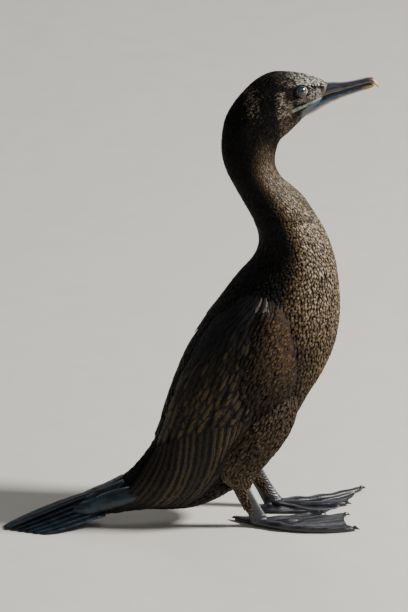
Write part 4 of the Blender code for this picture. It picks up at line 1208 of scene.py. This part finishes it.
def footMaterial():
    # scaled skin of the feet: black-grey and leathery, with a wet shine; raised plates painted paler than the
    # grooves between them, as painted light and shade, and a painted highlight down the front of the shank
    made, shader, add, place = newMaterial("footSkin", {
        "Roughness": 0.4, "Specular IOR Level": 0.5, "Coat Weight": 0.15, "Coat Roughness": 0.25,
    })
    part = attributeParts(add, "part")  # plate height, web, front of the leg
    scales = add("TexVoronoi", {"Vector": place, "Scale": 620.0})[0]  # 1.6 mm
    creases = add("TexNoise", {"Vector": place, "Scale": 220.0, "Detail": 5.0})[0]  # 4.5 mm
    # painted light and shade: paler where a plate is raised (X) so the grooves between plates look shaded,
    # and a pale grey painted highlight down the front of the shank (Z)
    colour = layered(add, "#0c0c10", [
        ((creases, 0.3, 0.7), "#1f1f26"), ((part["X"], 0.5, 1.0, 0.0, 0.5), "#3a3a42"),
        ((part["Z"], 0.5, 1.0, 0.0, 0.7), "#8a8a8a"),
    ], [(scales, 0.05, 0.55, 1.15, 0.75)])
    relief = add("Math", [creases, scales], operation="SUBTRACT")[0]
    surface(shader, add, colour, (creases, 0.3, 0.7, 0.3, 0.52), relief, 0.5, 0.0004)
    return made


def clawMaterial():
    # claw horn: black and polished by wear
    made, shader, add, place = newMaterial("clawHorn", {
        "Roughness": 0.28, "Coat Weight": 0.3, "Coat Roughness": 0.1,
    })
    wear = add("TexNoise", {"Vector": place, "Scale": 500.0, "Detail": 3.0})[0]  # 2 mm
    connect(shader, {
        "Base Color": layered(add, "#0c0b0b", [((wear, 0.35, 0.7), "#2b2825")]),
        "Roughness": (wear, 0.3, 0.7, 0.2, 0.4),
    })
    return made


def toePlace(side, number):
    _, half, tipHalf, high, tipHigh, joints = list(toes.values())[number]

    def place(u, v):
        turn = turned(u)
        middle, _, across = toeLine(side, number, v)
        knuckle = 1 + foot["knuckle"] * np.cos(v * 2 * math.pi * joints) * (1 - 0.5 * v)
        close = np.sqrt(np.clip(1 - ((v - 0.9) / 0.1).clip(0, 1) ** 2, 0.05, 1))
        w = (half + (tipHalf - half) * v) * knuckle * close
        h = (high + (tipHigh - high) * v ** 0.6) * knuckle * (0.5 + 0.5 * close)
        z = np.maximum(h * (0.5 + 0.5 * np.sin(turn)) ** 0.85, 0.0)
        return toScene(middle + across * (w * np.cos(turn))[:, None] + np.array([0, 0, 1.0]) * z[:, None]), {}
    return place


def webPlace(side, number):
    def place(u, v):
        bow = 4 * u * (1 - u)
        reach = foot["webReach"] * (1 - foot["webBay"] * bow * v ** 3)
        one, two = (toeLine(side, toe, v * reach)[0] for toe in (number, number + 1))
        spots = one * (1 - u)[:, None] + two * u[:, None]
        fold = foot["crease"] * np.sin(u * 5 * math.pi + number) * bow * smoothStep(v, 0.1, 0.5)
        spots[:, 2] = foot["webHigh"] + foot["webSag"] * (1 - bow) * (1 - 0.4 * v) + fold
        return toScene(spots), {}
    return place


def legPlace(side):
    def place(u, v):
        turn = turned(u)
        share, deep, wide = np.moveaxis(tableAt(tarsusRows, v * (len(tarsusRows) - 1)), -1, 0)
        (ankleX, ankleY), (heelX, heelY) = ankles[side], heels[side]
        x, y = ankleX + (heelX - ankleX) * share, ankleY + (heelY - ankleY) * share
        z = foot["ankleHigh"] + (foot["heelHigh"] - foot["ankleHigh"]) * share
        deep = deep * foot["tarsusWider"][side]
        return toScene(columns(x + deep * np.cos(turn), sides[side] * (y + wide * np.sin(turn)), z)), {}
    return place


def heelPlace(side):
    radius, high = foot["heelBall"]

    def place(u, v):
        r = radius * np.sqrt(np.clip(1 - (v * 2 - 1).clip(-0.97, 0.97) ** 2, 0, 1))
        turn, (x, y) = turned(u), heels[side]
        return toScene(columns(x + r * np.cos(turn), sides[side] * y + 0.75 * r * np.sin(turn), high * v)), {}
    return place


def clawPlace(side, number):
    _, _, half, _, high, _ = list(toes.values())[number]
    line, axis, across = toeLine(side, number, [1.0])

    def place(u, v):
        turn, slim = turned(u), (1 - v) ** 0.7 + 0.04
        z = high * 0.62 - foot["clawDrop"] * v ** 2 + 0.5 * np.sin(v * math.pi)
        w, h = half * foot["clawWide"] * slim, high * foot["clawHigh"] * slim
        ahead = line[0] + axis * (foot["claw"] * v - foot["clawBack"])[:, None]
        up = np.array([0, 0, 1.0]) * (z + h * np.sin(turn))[:, None]
        return toScene(ahead + across * (w * np.cos(turn))[:, None] + up), {}
    return place


def legMesh(side):
    # toes, tarsus, heel and webs as one closed skin
    grids = 3 * [foot["toeGrid"]] + [foot["hindGrid"]]
    parts = [bent(*grid, toePlace(side, k)) for k, grid in enumerate(grids)]
    parts += [bent(*foot["tarsusGrid"], legPlace(side)), bent(*foot["heelGrid"], heelPlace(side))]
    for k in range(3):
        web = bent(*foot["webGrid"], webPlace(side, k), closed=False)
        bmesh.ops.recalc_face_normals(web, faces=web.faces)  # an open web may turn over a second time
        bmesh.ops.solidify(web, geom=web.faces, thickness=foot["webThick"] * mm)
        parts.append(web)
    leg = newObject("leg", toMesh(together(parts), "leg_" + side))
    remesh = leg.modifiers.new("remesh", "REMESH")
    remesh.mode, remesh.voxel_size = "VOXEL", foot["voxel"]
    made = applied(leg)
    bpy.data.objects.remove(leg)
    bm = bmesh.new()
    bm.from_mesh(made)
    axes = {f"use_axis_{axis}": True for axis in "xyz"}
    for _ in range(foot["smoothed"]):
        bmesh.ops.smooth_vert(bm, verts=bm.verts, factor=0.5, **axes)
    bm.to_mesh(made)
    bm.free()
    return made


def addScutes(side, mesh):
    # raised plates along the toes and up the tarsus, as a saw of heights along each
    count = len(mesh.vertices)
    spots, normals = np.empty(count * 3, np.float32), np.empty(count * 3, np.float32)
    mesh.vertices.foreach_get("co", spots)
    mesh.vertices.foreach_get("normal", normals)
    spots, normals = spots.reshape(-1, 3).astype(float), normals.reshape(-1, 3)
    flat = (spots - origin) / mm
    plate, onToe = np.zeros(count), np.zeros(count)
    for number, (length, half, tipHalf, *_) in enumerate(toes.values()):
        line, axis, _ = toeLine(side, number, np.linspace(0, 1, 60))
        length *= toeStretch[side][number]
        gap = flat[:, None, :2] - line[None, :, :2]
        far = np.hypot(gap[..., 0], gap[..., 1])
        near = far.argmin(1)
        share = near / 59 + (gap[np.arange(count), near] @ axis[:2]) / length
        on = 1 - smoothStep(far.min(1) / (half + (tipHalf - half) * share.clip(0, 1)), 0.75, 1.1)
        plate = np.where(on > onToe, (share * length / foot["scute"]) % 1.0, plate)
        onToe = np.maximum(onToe, on)
    high = smoothStep(flat[:, 2], 7.5, 11.0)
    saw = ((flat[:, 2] + 0.35 * flat[:, 0]) / (foot["scute"] * 1.15)) % 1.0
    plate, onToe = plate * (1 - high) + saw * high, np.maximum(onToe * (1 - high), high)
    push = foot["scuteHigh"] * onToe * (plate ** 0.6 - 0.6) * np.clip(normals[:, 2] + 0.6 + high, 0, 1)
    spots = spots + normals * (push * mm)[:, None]
    spots[:, 2] = np.maximum(spots[:, 2], 0.0)
    mesh.vertices.foreach_set("co", spots.astype(np.float32).ravel())
    held = mesh.attributes.new("part", "FLOAT_VECTOR", "POINT")
    # the front of the shank, which faces the key lamp, gets a painted highlight; the plate heights also paint
    # the grooves darker than the plates as shade
    shinHighlight = high * smoothStep(normals[:, 0], 0.35, 0.85)
    held.data.foreach_set("vector", columns(plate * onToe, 1 - onToe, shinHighlight).astype(np.float32).ravel())


def makeLegs():
    skin, horn = footMaterial(), clawMaterial()
    for side in sides:
        made = legMesh(side)
        addScutes(side, made)
        finish("leg_" + side, made, skin, ("tarsus_" + side, "foot_" + side))
        claws = together([bent(*foot["clawGrid"], clawPlace(side, number)) for number in range(len(toes))])
        finish("claws_" + side, claws, horn, tuple(f"claw_{side}_{toe}" for toe in toes))
        print("leg", side, len(made.polygons))


studio = {
    # each lamp's place and size in metres, and its power in watts
    "lamps": {
        "key": ((2.6, -0.75, 1.9), 0.5, 235.0), "fill": ((-1.2, -2.6, 1.6), 2.0, 12.0),
        "rim": ((0.2, 2.2, 2.0), 1.0, 14.0),
    },
    "aim": (0, 0, 0.2), "floor": 6.0, "sky": "#dfe3e8", "skyStrength": 0.16,
}
view = {
    # the pixel where the origin lies and the mm of a pixel; together they even out the perspective
    "azimuth": -8.0, "elevation": 18.0, "scale": 0.8648, "pixel": (275.6, 516.2), "frame": (408, 612),
    "distance": 14.0, "sensor": 36,
}


def makeStage():
    bm = bmesh.new()
    bmesh.ops.create_grid(bm, x_segments=1, y_segments=1, size=studio["floor"])
    floor = newObject("floor", toMesh(bm, "floor"))
    made, shader, add, place = newMaterial("paleFloor", {"Roughness": 0.8})
    grain = add("TexNoise", {"Vector": place, "Scale": 30.0})[0]
    connect(shader, {"Base Color": layered(add, "#cfc9be", [(grain, "#d8d3c9")])})
    floor.data.materials.append(made)
    world = bpy.data.worlds.new("studio")
    world.use_nodes = True
    sky = world.node_tree.nodes["Background"]
    connect(sky, {"Color": studio["sky"], "Strength": studio["skyStrength"]})
    bpy.context.scene.world = world
    for name, (spot, size, power) in studio["lamps"].items():
        light = bpy.data.lights.new(name, "AREA")
        light.size, light.energy = size, power
        lamp = newObject(name, light)
        lamp.location = spot
        lamp.rotation_euler = (Vector(studio["aim"]) - Vector(spot)).to_track_quat("-Z", "Y").to_euler()


def makeCamera():
    a, e = math.radians(view["azimuth"]), math.radians(view["elevation"])
    back = np.array([math.sin(a) * math.cos(e), -math.cos(a) * math.cos(e), math.sin(e)])
    right = np.array([math.cos(a), math.sin(a), 0])
    up = np.cross(back, right)
    (wide, high), (px, py), pixel = view["frame"], view["pixel"], view["scale"] * mm
    target = origin + (right * (wide / 2 - px) + up * (py - high / 2)) * pixel
    camera = newObject("camera", bpy.data.cameras.new("camera"))
    camera.data.sensor_width = view["sensor"]
    camera.data.lens = view["sensor"] * view["distance"] / (high * pixel)
    camera.matrix_world = Matrix([(*row, 0) for row in zip(right, up, back)] + [(0, 0, 0, 1)])
    camera.location = target + back * view["distance"]
    bpy.context.scene.camera = camera


makeStage()
makeCamera()
makeSkin()
contour = plumageMaterial()
makeCoat(contour)
makeShoulderBlend(contour)
makeThighCoat(contour)
makeWings(wingMaterial())
makeTail()
makeBill()
makeEyes()
makeLegs()
